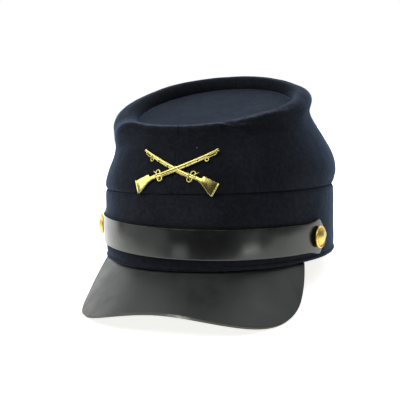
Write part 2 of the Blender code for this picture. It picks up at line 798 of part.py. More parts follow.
def main():
    """Builds the cap, then tips it back onto its peak and hem and puts its box's foot at the origin."""
    for item in list(bpy.data.objects):
        bpy.data.objects.remove(item)
    parts = new_collection("kepi_cap")
    cutters = new_collection("cutters")
    cutters.hide_render = True
    wool = material("navy wool", (0.013, 0.017, 0.026), 0.95)
    strap_leather = material("polished black leather", (0.012, 0.013, 0.013), 0.25)
    peak_leather = material("black leather", (0.020, 0.021, 0.021), 0.45)
    brass = material("brass", (0.70, 0.52, 0.16), 0.28, 1.0)

    button_bore = SHANK_WIDTH + 2 * PIN_CLEARANCE
    button_reach = 2 * (BAND_WALL + STRAP_WALL)
    button_holes = [
        cylinder_cutter("shank_hole", button_place(side, 0.0), button_bore, button_reach, cutters)
        for side in (1, -1)
    ]
    post_bore = POST_WIDTH + 2 * PIN_CLEARANCE
    post_holes = [
        cylinder_cutter("post_hole", post_place(side), post_bore, 2 * CROWN_WALL, cutters)
        for side in (1, -1)
    ]
    band = make_band(wool, parts, button_holes)
    peak = make_peak(peak_leather, parts)
    pitch, floor = rest_pitch(band, peak)
    band = flattened(band, pitch, floor, wool, parts)
    make_crown(wool, parts, post_holes)
    make_top(wool, parts)
    make_strap(strap_leather, parts, button_holes)
    make_button("button_left", 1, brass, parts)
    make_button("button_right", -1, brass, parts)
    make_badge(brass, parts, cutters)

    rest = bpy.data.objects.new("rest", None)
    parts.objects.link(rest)
    for item in list(parts.objects) + list(cutters.objects):
        if item is not rest:
            item.parent = rest
    rest.rotation_euler = (pitch, 0, 0)
    rest.location = (0, 0, -floor)
    points = points_of([item for item in parts.objects if item.type == "MESH"])
    middle_x = (min(point.x for point in points) + max(point.x for point in points)) / 2
    middle_y = (min(point.y for point in points) + max(point.y for point in points)) / 2
    rest.location = (-middle_x, -middle_y, -floor)


main()
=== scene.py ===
"""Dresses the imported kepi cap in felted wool, black leather and brass, on a pale floor in soft studio light.

The pieces are shaped in the cap's own frame, with its front along -Y and its hem in the plane z = 0, and are
then tipped back as the cap rests. Turn 0 is the front and grows to the wearer's left. Metres, +Z up.
"""

import math

import bmesh
import bpy
from bpy.props import FloatProperty, FloatVectorProperty, PointerProperty
from mathutils import Matrix, Vector, noise


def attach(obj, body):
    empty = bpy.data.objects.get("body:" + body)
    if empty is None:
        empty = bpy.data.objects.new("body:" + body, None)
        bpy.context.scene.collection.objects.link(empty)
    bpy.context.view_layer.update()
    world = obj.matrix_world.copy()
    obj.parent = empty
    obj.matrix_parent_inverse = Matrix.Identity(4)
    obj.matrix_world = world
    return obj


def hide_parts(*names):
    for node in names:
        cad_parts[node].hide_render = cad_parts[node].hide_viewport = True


bl_info = {
    "name": "Kepi cap",
    "version": (1, 0, 0),
    "blender": (4, 5, 0),
    "location": "3D View > Sidebar > Kepi",
    "description": "Builds a wool kepi cap with its leather peak, strap, side buttons and badge",
    "category": "Add Mesh",
}

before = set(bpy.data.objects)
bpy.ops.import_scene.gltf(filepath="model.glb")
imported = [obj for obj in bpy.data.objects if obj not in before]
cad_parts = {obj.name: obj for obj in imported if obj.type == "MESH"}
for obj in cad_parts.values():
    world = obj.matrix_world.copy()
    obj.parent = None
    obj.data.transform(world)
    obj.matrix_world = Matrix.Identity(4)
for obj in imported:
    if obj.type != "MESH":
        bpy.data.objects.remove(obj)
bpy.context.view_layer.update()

# How the cap rests: tipped back onto the lobes of its peak and the back of its hem
REST_PITCH = math.radians(-9.471)
REST_PLACE = Vector((0.000768, 0.013251, 0.01605))
FLOOR_GAP = 0.0001

# The photo's viewing angle, in the cap's own frame
VIEW_AZIMUTH = math.radians(19.7)
VIEW_ELEVATION = math.radians(4.8)
VIEW_ROLL = math.radians(-1.03)
VIEW_ASIDE = -0.0168
VIEW_HEIGHT = 0.0390
VIEW_DISTANCE = 0.5942
SENSOR_WIDTH = 36.0
LENS = 68.12

# Crown side from the band (rise 0) to the rim (rise 1): how far it stands out, in shares of the fullness
CROWN_SECTIONS = (
    # rise, front, wearer's left, back, wearer's right
    (0.00, -0.12, -0.12, -0.12, -0.12),
    (0.06, 0.06, 0.12, 0.18, 0.05),
    (0.17, 0.16, 0.42, 0.50, 0.10),
    (0.34, 0.16, 0.46, 0.62, 0.02),
    (0.55, 0.06, 0.14, 0.36, -0.20),
    (0.72, -0.02, -0.16, 0.08, -0.26),
    (0.86, -0.06, -0.30, -0.12, -0.14),
    (1.00, 0.00, 0.00, 0.00, 0.00),
)

# Rows of the crown's mesh, closer together at the seam with the band and over the roll; the turned-in edge
# runs on under the round top (rise 3 to 4)
CROWN_ROWS = (
    # share of the rows, rise
    (0.00, 0.000),
    (0.06, 0.012),
    (0.14, 0.060),
    (0.55, 1.000),
    (0.80, 2.000),
    (0.955, 3.000),
    (0.973, 3.500),
    (1.00, 4.000),
)

# Folds and dents of the crown: turn in degrees, rise on past 1 over the roll, reach and breadth in shares of
# the fold reach, depth in shares of the fold depth, out positive
CROWN_FOLDS = (
    # turn, rise, reach, breadth, slant in degrees, depth
    (29.0, 1.30, 0.30, 0.08, -43.0, -0.45),
    (26.0, 1.12, 0.36, 0.09, -40.0, 0.60),
    (24.0, 0.90, 0.36, 0.12, -36.0, -0.30),
    (36.0, 0.95, 0.60, 0.16, -16.0, -0.60),
    (-42.0, 1.35, 0.55, 0.20, 24.0, 0.55),
    (-34.0, 0.85, 0.50, 0.20, 12.0, -0.35),
    (-72.0, 0.62, 0.60, 0.40, 10.0, -0.40),
    (-96.0, 0.85, 0.80, 0.50, 20.0, 0.30),
    (104.0, 0.80, 0.90, 0.35, -8.0, -0.35),
    (150.0, 0.45, 1.10, 0.50, 25.0, -0.50),
    (-140.0, 0.50, 1.00, 0.45, -20.0, -0.45),
    (178.0, 0.72, 0.90, 0.45, 0.0, 0.40),
)

# How the rolled rim leaves a plain tilted ring: shares of the outer roll outwards and upwards, and how round
# the outer half of the roll is as a share of it. The cloth is drawn tight at the front.
RIM_SHAPE = (
    # turn in degrees, out, up, roundness
    (-135.0, 0.05, -0.15, 1.00),
    (-90.0, 0.17, -0.35, 1.00),
    (-60.0, 0.32, -0.38, 0.90),
    (-30.0, 0.12, 0.10, 0.50),
    (0.0, 0.00, 0.20, 0.42),
    (45.0, -0.08, 0.24, 0.44),
    (90.0, -0.25, -0.10, 0.85),
    (135.0, -0.15, -0.30, 1.00),
    (180.0, 0.00, -0.20, 1.00),
)

# The band's closed section, from its inner foot out round the turned hem, up the side and over the top edge
BAND_SECTION = (
    # height as a share of the hem roll below 1 and of the band above, grown as a share of the wall
    (0.00, -1.00),
    (0.00, -0.55),
    (0.06, -0.22),
    (0.22, 0.06),
    (0.45, 0.20),
    (0.68, 0.16),
    (0.86, 0.00),
    (1.00, -0.10),
    (1.03, 0.00),
    (1.10, 0.06),
    (1.30, 0.04),
    (1.60, 0.02),
    (1.85, 0.00),
    (1.95, -0.04),
    (1.985, -0.22),
    (2.00, -0.50),
    (2.00, -1.00),
    (1.50, -1.00),
    (1.00, -1.00),
    (0.50, -1.00),
)

# Strap end: distance past the button and half width, in shares of the strap's width, from the point inwards
STRAP_END = (
    # past the button, half width
    (-0.60, 0.50),
    (-0.30, 0.53),
    (-0.05, 0.59),
    (0.16, 0.62),
    (0.44, 0.34),
    (0.74, 0.04),
)

# Button face from its centre outwards: share of the half width, and height as shares of the dome and the rim
BUTTON_FACE = (
    # out, dome, rim
    (0.00, 1.00, 0.00),
    (0.12, 0.985, 0.00),
    (0.25, 0.93, 0.00),
    (0.38, 0.85, 0.00),
    (0.50, 0.74, 0.00),
    (0.60, 0.62, 0.00),
    (0.70, 0.49, 0.00),
    (0.77, 0.38, 0.00),
    (0.805, 0.33, 0.00),
    (0.83, 0.33, 0.12),
    (0.855, 0.00, 0.88),
    (0.885, 0.00, 1.00),
    (0.92, 0.00, 1.02),
    (0.96, 0.00, 0.90),
    (0.99, 0.00, 0.66),
    (1.00, 0.00, 0.42),
    (0.985, 0.00, 0.20),
    (0.94, 0.00, 0.04),
    (0.86, 0.00, 0.00),
)

# One gun of the badge, in shares of its length: along from the butt to the muzzle, across with the lock up
STOCK_OUTLINE = (
    # along, across
    (0.000, -0.097),
    (0.014, -0.101),
    (0.060, -0.080),
    (0.110, -0.050),
    (0.165, -0.024),
    (0.215, -0.010),
    (0.262, -0.012),
    (0.320, -0.024),
    (0.420, -0.030),
    (0.620, -0.030),
    (0.800, -0.028),
    (0.872, -0.024),
    (0.880, -0.010),
    (0.880, 0.012),
    (0.620, 0.016),
    (0.500, 0.018),
    (0.400, 0.024),
    (0.330, 0.030),
    (0.262, 0.034),
    (0.212, 0.030),
    (0.190, 0.036),
    (0.187, 0.060),
    (0.172, 0.067),
    (0.110, 0.062),
    (0.050, 0.058),
    (0.000, 0.054),
)

# Open rings soldered to each gun, in the same shares
GUN_RINGS = (
    # along, across, radius, half wire
    (0.300, -0.034, 0.026, 0.0075),
    (0.300, 0.045, 0.024, 0.0075),
    (0.845, -0.044, 0.019, 0.0065),
)

# Rods and bands of each gun, in the same shares
GUN_RODS = (
    # from, to, across, half width at the butt end, half width at the muzzle end, height of the axis
    (0.325, 1.000, 0.000, 0.0205, 0.0145, 0.0180),
    (0.975, 1.002, 0.000, 0.0180, 0.0180, 0.0180),
    (0.860, 0.965, -0.031, 0.0050, 0.0050, 0.0120),
    (0.955, 0.975, -0.012, 0.0170, 0.0170, 0.0120),
    (0.600, 0.618, -0.006, 0.0290, 0.0285, 0.0110),
    (0.740, 0.758, -0.006, 0.0285, 0.0280, 0.0110),
    (0.864, 0.882, -0.006, 0.0280, 0.0275, 0.0110),
    (0.500, 0.540, 0.014, 0.0110, 0.0060, 0.0200),
    (0.252, 0.338, 0.014, 0.0170, 0.0150, 0.0120),
)

# Trigger, hammer and butt plate of each gun, which lie across it, in the same shares
GUN_PINS = (
    # along, across, turn in degrees, half length, half width at both ends, height of the axis
    (0.292, -0.034, 70.0, 0.012, 0.0045, 0.0035, 0.0100),
    (0.262, 0.062, 125.0, 0.020, 0.0075, 0.0045, 0.0120),
    (0.007, -0.022, 90.0, 0.078, 0.0080, 0.0080, 0.0165),
)

# Soft lights round the cap, each turned by its azimuth to the right of the camera
LIGHTS = (
    # name, azimuth, elevation, distance, width, height, radiance
    ("left", -90.0, 45.0, 1.2, 0.9, 0.9, 2.5),
    ("low side", -76.0, 3.0, 1.2, 1.35, 0.32, 0.75),
    ("left back", -135.0, 10.0, 1.2, 0.9, 0.9, 1.65),
    ("back", 180.0, 42.0, 1.2, 0.9, 1.2, 2.4),
    ("right back", 128.0, 40.0, 1.2, 0.9, 0.9, 2.4),
    ("front left", -27.0, 62.0, 1.2, 0.9, 0.9, 2.9),
    ("low left", -30.0, -3.8, 0.42, 0.12, 0.036, 2.2),
    ("low right", 35.0, -5.8, 0.42, 0.12, 0.036, 5.0),
)


def length(name, default, description):
    """A size in metres for a property group."""
    return FloatProperty(
        name=name, description=description, default=default, min=0.0, unit="LENGTH", precision=5
    )


def angle(name, degrees, description):
    """An angle for a property group."""
    return FloatProperty(name=name, description=description, default=math.radians(degrees), subtype="ANGLE")


def amount(name, default, description):
    """A number from 0 up for a property group."""
    return FloatProperty(name=name, description=description, default=default, min=0.0)


def colour(name, default, description):
    """A colour for a property group."""
    return FloatVectorProperty(
        name=name, description=description, default=(*default, 1.0), size=4, min=0.0, max=1.0, subtype="COLOR"
    )


class KepiShape(bpy.types.PropertyGroup):
    """Sizes of the cap's cloth and leather"""

    hem_length: length("Hem length", 0.2070, "Front to back, outside the hem")
    hem_width: length("Hem width", 0.1720, "Side to side, outside the hem")
    hem_roll: length("Hem roll", 0.0036, "Height of the turned hem")
    band_height: length("Band height", 0.0510, "From the hem to the seam round the cap")
    band_wall: length("Band wall", 0.0028, "Thickness of the band")
    crown_wall: length("Crown wall", 0.0020, "Thickness of the crown's cloth")
    crown_fullness: length("Crown fullness", 0.0100, "How far the crown's side may stand out")
    rim_width: length("Rim width", 0.1514, "Side to side across the rolled rim")
    rim_height: length("Rim height", 0.1180, "Height of the middle of the rim's crest")
    rim_forward: length("Rim forward", 0.0148, "How far the rim leans forward")
    top_tilt: angle("Top tilt", 19.0, "How far the round top slopes down to the front")
    roll_outer: length("Outer roll", 0.0095, "Radius of the roll's outer half")
    roll_inner: length("Inner roll", 0.0068, "Radius of the roll's inner half")
    top_sink: length("Top sink", 0.0098, "How far the round top lies below the crest")
    top_wall: length("Top wall", 0.0020, "Thickness of the round top")
    top_sag: length("Top sag", 0.0012, "How far the middle of the top sags")
    fold_depth: length("Fold depth", 0.0040, "Depth of the deepest fold")
    fold_reach: length("Fold reach", 0.0300, "Half length of a fold")
    peak_wall: length("Peak wall", 0.0021, "Thickness of the peak")
    peak_reach: length("Peak reach", 0.0320, "How far the peak reaches past the hem")
    peak_width: length("Peak width", 0.1575, "Side to side across the peak's lobes")
    peak_side: length("Peak side", 0.0220, "Length of the peak's straight side")
    peak_spread: angle("Peak spread", 62.0, "Turn at which the peak meets the hem")
    peak_slope: angle("Peak slope", 32.5, "How steeply the peak slopes down at the front")
    peak_droop: length("Peak droop", 0.0035, "How far the lobes bend down")
    strap_width: length("Strap width", 0.0200, "Width of the leather strap")
    strap_wall: length("Strap wall", 0.0020, "Thickness of the leather strap")
    strap_height: length("Strap height", 0.0187, "Height of the strap's middle above the hem")
    strap_slant: length("Strap slant", 0.0030, "How much lower the strap is at the wearer's left")
    strap_lift: length("Strap lift", 0.0010, "How much the strap rises to its ends")


class KepiTrim(bpy.types.PropertyGroup):
    """Sizes of the cap's brass, where left and right are the wearer's"""

    button_turn: angle("Button turn", 70.0, "Turn from the front to a side button")
    button_lean_left: angle("Left button's lean", 4.5, "How far the left button leans to the back")
    button_lean_right: angle("Right button's lean", -12.0, "How far the right button leans to the back")
    button_stand_off_left: length("Left stand-off", 0.0008, "Gap between the strap and the left button")
    button_stand_off_right: length("Right stand-off", 0.0016, "Gap between the strap and the right button")
    button_width: length("Button width", 0.0160, "Width of a side button")
    button_dome: length("Button dome", 0.0038, "Height of a button's dome")
    button_rim: length("Button rim", 0.0018, "Height of a button's rim")
    gun_length: length("Gun length", 0.0590, "Length of one gun of the badge")
    gun_turn_upper: angle("Upper gun's turn", 23.5, "Slope of the gun that lies on top")
    gun_turn_lower: angle("Lower gun's turn", 27.0, "Slope of the gun that lies below")
    gun_wall: length("Gun wall", 0.0011, "Thickness of a gun's stock")
    gun_step: length("Gun step", 0.0006, "How much higher the upper gun lies")
    badge_aside: length("Badge aside", 0.0010, "How far the crossing lies to the wearer's left")
    badge_rise: length("Badge rise", 0.0170, "Height of the crossing above the band's seam")


class KepiFinish(bpy.types.PropertyGroup):
    """Colours and finishes of the cap"""

    wool: colour("Wool", (0.0070, 0.0077, 0.0102), "Main colour of the wool")
    wool_light: colour("Wool nap", (0.0185, 0.0215, 0.0290), "Colour of the raised nap")
    lint: colour("Lint", (0.30, 0.32, 0.33), "Colour of the specks of lint")
    leather: colour("Leather", (0.0060, 0.0064, 0.0062), "Main colour of the leather")
    leather_edge: colour("Leather edge", (0.052, 0.048, 0.034), "Colour of the cut edge of the peak")
    leather_worn: colour("Worn leather", (0.42, 0.41, 0.37), "Colour where the leather's edge is rubbed")
    brass: colour("Badge brass", (0.68, 0.61, 0.20), "Colour of the badge")
    # The old badge brass colour is also the badge's painted shade on its low parts
    brass_tarnish_and_shade: colour("Old badge brass", (0.12, 0.10, 0.02), "Colour of the badge where it is dull")
    gilt: colour("Button brass", (0.84, 0.62, 0.17), "Colour of the buttons")
    gilt_deep: colour("Old button brass", (0.60, 0.33, 0.05), "Colour of the buttons where they are dull")
    peak_roughness: amount("Peak roughness", 0.42, "Roughness of the peak")
    strap_roughness: amount("Strap roughness", 0.20, "Roughness of the strap")


class KepiStage(bpy.types.PropertyGroup):
    """Light and floor"""

    floor_size: length("Floor size", 1.0, "Side of the square floor")
    floor_front: length("Floor front", 0.30, "How far the floor reaches from the cap's middle to the front")
    floor: colour("Floor", (0.78, 0.78, 0.77), "Colour of the floor")
    glow: amount("Floor glow", 0.85, "How much the floor is lit from below")
    sky: amount("Surroundings", 0.06, "Strength of the even light")
    light: amount("Lights", 1.0, "Strength of all the lights")


def property_names(group):
    """The names of a property group's own properties."""
    return [name for name in group.bl_rna.properties.keys() if name not in ("rna_type", "name")]


def held(value, low=0.0, high=1.0):
    """The value held between two limits."""
    return min(max(value, low), high)


def bell(value, middle, reach):
    """1 at the middle, fading away smoothly on both sides."""
    return math.exp(-(((value - middle) / reach) ** 2))


def direction(azimuth, elevation):
    """The direction at this turn to the right of the front, and this far up."""
    level = math.cos(elevation)
    return Vector((math.sin(azimuth) * level, -math.cos(azimuth) * level, math.sin(elevation)))


def row_past(rows, at):
    """The number of the first row at or past this value of the first column."""
    return next((number for number in range(1, len(rows)) if at <= rows[number][0]), len(rows) - 1)


def row_at(rows, at):
    """The row of a table at this value of its first column, straight between its neighbours."""
    high = row_past(rows, at)
    low, high = rows[high - 1], rows[high]
    part = (at - low[0]) / (high[0] - low[0])
    return [a + (b - a) * part for a, b in zip(low[1:], high[1:])]


def smooth_row_at(rows, at):
    """The same along a smooth curve through the rows."""
    high = row_past(rows, at)
    before, after = rows[max(high - 2, 0)], rows[min(high + 1, len(rows) - 1)]
    low, high = rows[high - 1], rows[high]
    span = high[0] - low[0]
    part = (at - low[0]) / span
    found = []
    for a, b, ahead, behind in zip(low[1:], high[1:], after[1:], before[1:]):
        leave = (b - behind) / (high[0] - before[0]) * span
        reach = (ahead - a) / (after[0] - low[0]) * span
        square, cube = part * part, part**3
        found.append(
            a * (2 * cube - 3 * square + 1)
            + leave * (cube - 2 * square + part)
            + b * (3 * square - 2 * cube)
            + reach * (cube - square)
        )
    return found


def round_row_at(rows, degrees):
    """The row of a table that goes round the cap by degrees of turn, eased between its neighbours."""
    last = rows[-1][0]
    degrees = (degrees - last) % 360 + last
    rows = (rows[-1],) + tuple((row[0] + 360, *row[1:]) for row in rows)
    low, high = next(pair for pair in zip(rows, rows[1:]) if degrees <= pair[1][0])
    part = (degrees - low[0]) / (high[0] - low[0])
    part *= part * (3 - 2 * part)
    return [a + (b - a) * part for a, b in zip(low[1:], high[1:])]


class Cap:
    """The cap's surfaces, worked out from its sizes."""

    clearance = 0.0003
    # The seams of the crown and the band, the wrinkles beside them, and the painted shade in the crown's seam
    # grooves
    seam_foot_aside = 0.0015
    seam_head_aside = -0.0034
    seam_depth = 0.00018
    seam_breadth = 0.0005
    pucker_depth = 0.00035
    pucker_reach = 0.006
    wrinkle_depth = 0.00025
    wrinkle_reach = 0.004
    seam_shade_height = 0.080
    seam_shade_fade = 0.020
    # The painted highlight along the rim's lip, the crown's edge turned in under the top, and the top's
    # turned-down edge
    lip_inside = 0.0035
    lip_breadth = 0.0011
    turned_in = 0.0020
    turned_down = 0.0010
    top_edge_drop = 0.0010
    # The peak: how far it goes under the hem, its plan, and where its cut edge is rubbed light
    peak_under_hem = 0.0024
    peak_boxiness = 2.35
    peak_side_share = 0.16
    rubbed_place = 0.0150
    rubbed_reach = 0.0065
    peak_edge_rounding = 0.00045
    # The strap's crowned section and waves, and how much thinner it and the top are made than their walls
    strap_crowning = 0.00035
    strap_waves = 0.00012
    strap_edge_rounding = 0.0005
    slack = 0.0003
    # The buttons' shanks, and the badge's roundings, rings, and the height below which its brass is darkened
    # with painted shade
    shank_radius = 0.0015
    shank_head = 0.0035
    shank_head_wall = 0.001
    stock_fillet = 0.00042
    ring_height = 0.0006
    painted_shade_height = 0.0012

    def __init__(self, scene):
        for group in (scene.kepi_shape, scene.kepi_trim):
            for name in property_names(group):
                setattr(self, name, getattr(group, name))

    def hem_point(self, turn, height, grow=0.0):
        """A point on the hem's ellipse, grown by this much, at this height."""
        across = (self.hem_width / 2 + grow) * math.sin(turn)
        forward = (self.hem_length / 2 + grow) * math.cos(turn)
        return Vector((across, -forward, height))

    def hem_normal(self, turn):
        """The level direction straight out of the hem's ellipse."""
        out = Vector((self.hem_length * math.sin(turn), -self.hem_width * math.cos(turn), 0))
        return out.normalized()

    def hem_rate(self, turn):
        """The length of hem that one radian of turn covers here."""
        return math.hypot(self.hem_width / 2 * math.cos(turn), self.hem_length / 2 * math.sin(turn))

    def rim_axes(self, turn):
        """The crest's centre, and the directions straight out from it in the tilted top's plane, and up."""
        back = Vector((0, math.cos(self.top_tilt), math.sin(self.top_tilt)))
        up = Vector((0, -math.sin(self.top_tilt), math.cos(self.top_tilt)))
        out = Vector((math.sin(turn), 0, 0)) - back * math.cos(turn)
        return Vector((0, -self.rim_forward, self.rim_height)), out, up

    def rim_point(self, turn, rise):
        """The rolled rim: its outer shoulder (rise 1), crest (2), the top's edge (3) and its own end (4)."""
        centre, out, up = self.rim_axes(turn)
        shift_out, shift_up, roundness = round_row_at(RIM_SHAPE, math.degrees(turn))
        outer = self.roll_outer * roundness
        crest = self.rim_width / 2 - outer
        if rise <= 2:
            arc = (rise - 1) * math.pi / 2
            radius = crest + outer * math.cos(arc)
            height = outer * (math.sin(arc) - 1)
        else:
            arc = (min(rise, 3) - 2) * math.pi / 2
            radius = crest - (self.roll_inner + self.roll_outer - outer) * math.sin(arc)
            height = (self.top_sink + self.top_wall) * (math.cos(arc) - 1)
            radius -= self.turned_in * max(rise - 3.5, 0.0) * 2
            height -= self.turned_down * held((rise - 3) * 2)
        hold = 1 - held(rise - 2)
        radius += shift_out * self.roll_outer * hold
        height += shift_up * self.roll_outer * hold
        return centre + out * radius + up * height

    def crown_base(self, turn, rise):
        """The crown without its folds, from the band (rise 0) to the end of its turned-in edge (rise 4)."""
        if rise >= 1:
            return self.rim_point(turn, rise)
        low = self.hem_point(turn, self.band_height + self.clearance)
        high = self.rim_point(turn, 1.0)
        front, left, back, right = smooth_row_at(CROWN_SECTIONS, rise)
        mean = (front + left + back + right) / 4
        out = (
            mean
            + (front - back) / 2 * math.cos(turn)
            + (left - right) / 2 * math.sin(turn)
            + (front + back - left - right) / 4 * math.cos(2 * turn)
        )
        radial = Vector((math.sin(turn), -math.cos(turn), 0))
        return low.lerp(high, rise) + radial * (out * self.crown_fullness)

    def crown_normal(self, turn, rise):
        """Straight out of the crown, from two steps along its surface."""
        step = 0.01
        low, high = max(min(rise, 3.0) - step, 0.0), min(rise + step, 3.0)
        upward = self.crown_base(turn, high) - self.crown_base(turn, low)
        side = self.crown_base(turn + step, rise) - self.crown_base(turn - step, rise)
        return side.cross(upward).normalized()

    def side_length(self, turn):
        """The straight length of the crown's side here, from the band to the rolled rim's shoulder."""
        return (self.crown_base(turn, 1.0) - self.crown_base(turn, 0.0)).length

    def fold_push(self, turn, rise, side):
        """How far the folds push the crown out or in at this place."""
        total = 0.0
        roll = self.roll_outer * math.pi / 2
        for fold_turn, fold_rise, reach, breadth, slant, depth in CROWN_FOLDS:
            apart = math.remainder(turn - math.radians(fold_turn), 2 * math.pi)
            across = apart * self.rim_width / 2
            upward = (min(rise, 1) - min(fold_rise, 1)) * side + (max(rise, 1) - max(fold_rise, 1)) * roll
            lean = math.radians(slant)
            along = across * math.cos(lean) + upward * math.sin(lean)
            beside = upward * math.cos(lean) - across * math.sin(lean)
            falloff = (along / (reach * self.fold_reach)) ** 2 + (beside / (breadth * self.fold_reach)) ** 2
            total += depth * self.fold_depth * math.exp(-falloff)
        return total * min(rise / 0.12, 1.0) * held((2.9 - rise) / 0.7)

    def loose_share(self, turn, rise, side):
        """How freely the cloth folds here: not at all behind the stiff badge, fully a little way from it."""
        across = math.remainder(turn, 2 * math.pi) * (self.hem_width + self.rim_width) / 4
        upward = rise * side - self.badge_rise
        reach = self.gun_length / 2
        out = math.hypot(across / reach, upward / (0.62 * reach)) - 1.05
        free = held(out / 0.40)
        return free * free * (3 - 2 * free)

    def seam_turn(self, rise):
        """The turn of the leaning front seam."""
        upward = min(rise * 0.92, 0.92 + (rise - 1) * 0.08)
        aside = self.seam_foot_aside + (self.seam_head_aside - self.seam_foot_aside) * upward
        return aside / (self.crown_base(math.pi / 2, rise).x)

    def crown_point(self, turn, rise, from_seam):
        """The crown's outer surface with its folds, soft ripples and seams; from_seam is a distance."""
        place = self.crown_base(turn, rise)
        out = self.crown_normal(turn, rise)
        side = self.side_length(turn)
        loose = self.loose_share(turn, rise, side)
        push = self.fold_push(turn, rise, side) * loose
        push += ripple(place) * (0.35 + 0.65 * loose) * held(min(rise / 0.05, (3 - rise) / 0.3))
        above = rise * side
        pucker = math.sin(turn * 74 + 3.0 * noise.noise(place * 30)) * noise.noise(place * 55)
        push += self.pucker_depth * pucker * math.exp(-above / self.pucker_reach) * min(above / 0.001, 1.0)
        drawn = 1.0 if place.y < 0 else 1.0 - 0.85 * held((rise - 0.7) / 0.3)
        push -= self.seam_depth * drawn * bell(from_seam, 0.0, self.seam_breadth)
        beside = 0.00012 * math.sin(above * 620 + 2.0 * noise.noise(place * 40))
        push += beside * drawn * bell(from_seam, 0.003, 0.003)
        return place + out * push

    def lip_highlight_share(self, spot):
        """How strongly a highlight is painted on the wool at a point of the crown: along the front of the
        rim's lip.
        """
        middle, back, up = self.rim_axes(math.pi)
        spot = spot - middle
        radius = math.hypot(spot.x, spot.dot(back))
        front = held(-2.5 * spot.dot(back) / radius - 0.75)
        high = held(spot.dot(up) / self.roll_outer * 4 + 1.4)
        return front * high * bell(radius - self.rim_width / 2, -self.lip_inside, self.lip_breadth)

    def seam_shade(self, spot):
        """How strongly painted shade darkens the wool at a point of the crown: in the grooves of its front and
        back seams.
        """
        turn = math.atan2(spot.x, -spot.y)
        aside = turn - self.seam_turn(min(spot.z / self.rim_height, 1.0))
        aside = min(abs(aside), math.pi - abs(turn)) * self.rim_width / 2
        high = held((spot.z - self.seam_shade_height) / self.seam_shade_fade, 0.35)
        return 0.9 * high * bell(aside, 0.0, self.seam_breadth)

    def button_lean(self, side):
        """How far the button of this side leans to the back."""
        return self.button_lean_left if side > 0 else self.button_lean_right

    def button_outside(self, side):
        """How far outside the band the underside of this side's button lies."""
        stand_off = self.button_stand_off_left if side > 0 else self.button_stand_off_right
        return 2 * self.clearance + self.strap_wall + stand_off

    def strap_middle(self, turn):
        """The height of the strap's middle above the hem: lifted to its ends, lower at the wearer's left."""
        side = math.sin(turn) / math.sin(self.button_turn)
        return self.strap_height - self.strap_slant * side + self.strap_lift * side**2

    def peak_height(self, across, forward):
        """The height of the peak's sheet, which slopes down and bends down at both sides."""
        reach = self.hem_length / 2
        end = self.hem_point(self.peak_spread, 0.0)
        bend = 2 * math.tan(self.peak_slope) * (reach + end.y) / end.x**2
        return math.tan(self.peak_slope) * (forward + reach) - bend * across**2 / 2

    def peak_edge(self, part):
        """The plan of the peak's free edge: out along its side, then round the lobe to the front."""
        root = self.hem_point(self.peak_spread, 0.0)
        past = (abs(part) - (1 - self.peak_side_share)) / self.peak_side_share
        if past > 0:
            across = root.x + (self.peak_width / 2 - root.x) * (1 - past**2)
            return math.copysign(across, part), root.y - self.peak_side * (1 - past)
        lobe = part / (1 - self.peak_side_share) * math.pi / 2
        across = self.peak_width / 2 * math.copysign(abs(math.sin(lobe)) ** (2 / self.peak_boxiness), part)
        start = root.y - self.peak_side
        return across, start - (self.hem_length / 2 + self.peak_reach + start) * math.cos(lobe)

    def peak_point(self, part, out):
        """The peak's upper surface: part goes from side to side, out from the hem to the free edge."""
        inner = self.hem_point(part * self.peak_spread, 0.0, -self.peak_under_hem)
        across, forward = self.peak_edge(part)
        x = inner.x + (across - inner.x) * out
        y = inner.y + (forward - inner.y) * out
        step = self.peak_height(inner.x, inner.y)
        droop = self.peak_droop * abs(across / (self.peak_width / 2)) ** 4 * out
        end = min((1 - abs(part)) / 0.2, 1.0)
        gap = self.clearance * (0.15 + 0.85 * min(out / 0.09, 1.0))
        height = self.peak_height(x, y) - step * (1 - out) ** 2 - droop * end - gap
        return Vector((x, y, height))

    def badge_point(self, spot):
        """A flat point of the badge, its height above the back as z, bent round the crown."""
        lowest = 0.08
        turn = (spot.x + self.badge_aside) / ((self.hem_width + self.rim_width) / 4)
        side = self.side_length(0.0)
        rise = (self.badge_rise + spot.y) / side
        on_crown = max(rise, lowest)
        place = self.crown_base(turn, on_crown)
        if rise < lowest:
            down = self.crown_base(turn, lowest) - self.crown_base(turn, 2 * lowest)
            place += down.normalized() * (lowest - rise) * side
        return place + self.crown_normal(turn, on_crown) * (self.clearance + spot.z)


def ripple(place):
    """The soft unevenness of cloth that has been worn and handled."""
    return 0.00045 * noise.noise(place * 36) + 0.00016 * noise.noise(place * 105)


def rest_matrix():
    """From the cap's own frame to the frame in which it rests."""
    return Matrix.Translation(REST_PLACE) @ Matrix.Rotation(REST_PITCH, 4, "X")


def mapped_grid(columns, rows, place, size):
    """A grid put where place(u, v) says and welded where it meets, its UV map in metres for this size."""
    bm = bmesh.new()
    uv = bm.loops.layers.uv.new("UVMap")
    bmesh.ops.create_grid(bm, x_segments=columns, y_segments=rows, size=0.5, calc_uvs=True)
    for face in bm.faces:
        for loop in face.loops:
            loop[uv].uv = (loop[uv].uv.x * size[0], loop[uv].uv.y * size[1])
    for vert in bm.verts:
        vert.co = place(vert.co.x + 0.5, vert.co.y + 0.5)
    bmesh.ops.remove_doubles(bm, verts=bm.verts, dist=1e-6)
    return bm


def face_out(bm, out=None):
    """Turns a sheet's faces to look along out, or else away from the cap's middle."""
    bmesh.ops.recalc_face_normals(bm, faces=bm.faces)
    first = bm.faces[0]
    if first.normal.dot(first.calc_center_median() if out is None else out) < 0:
        bmesh.ops.reverse_faces(bm, faces=bm.faces)


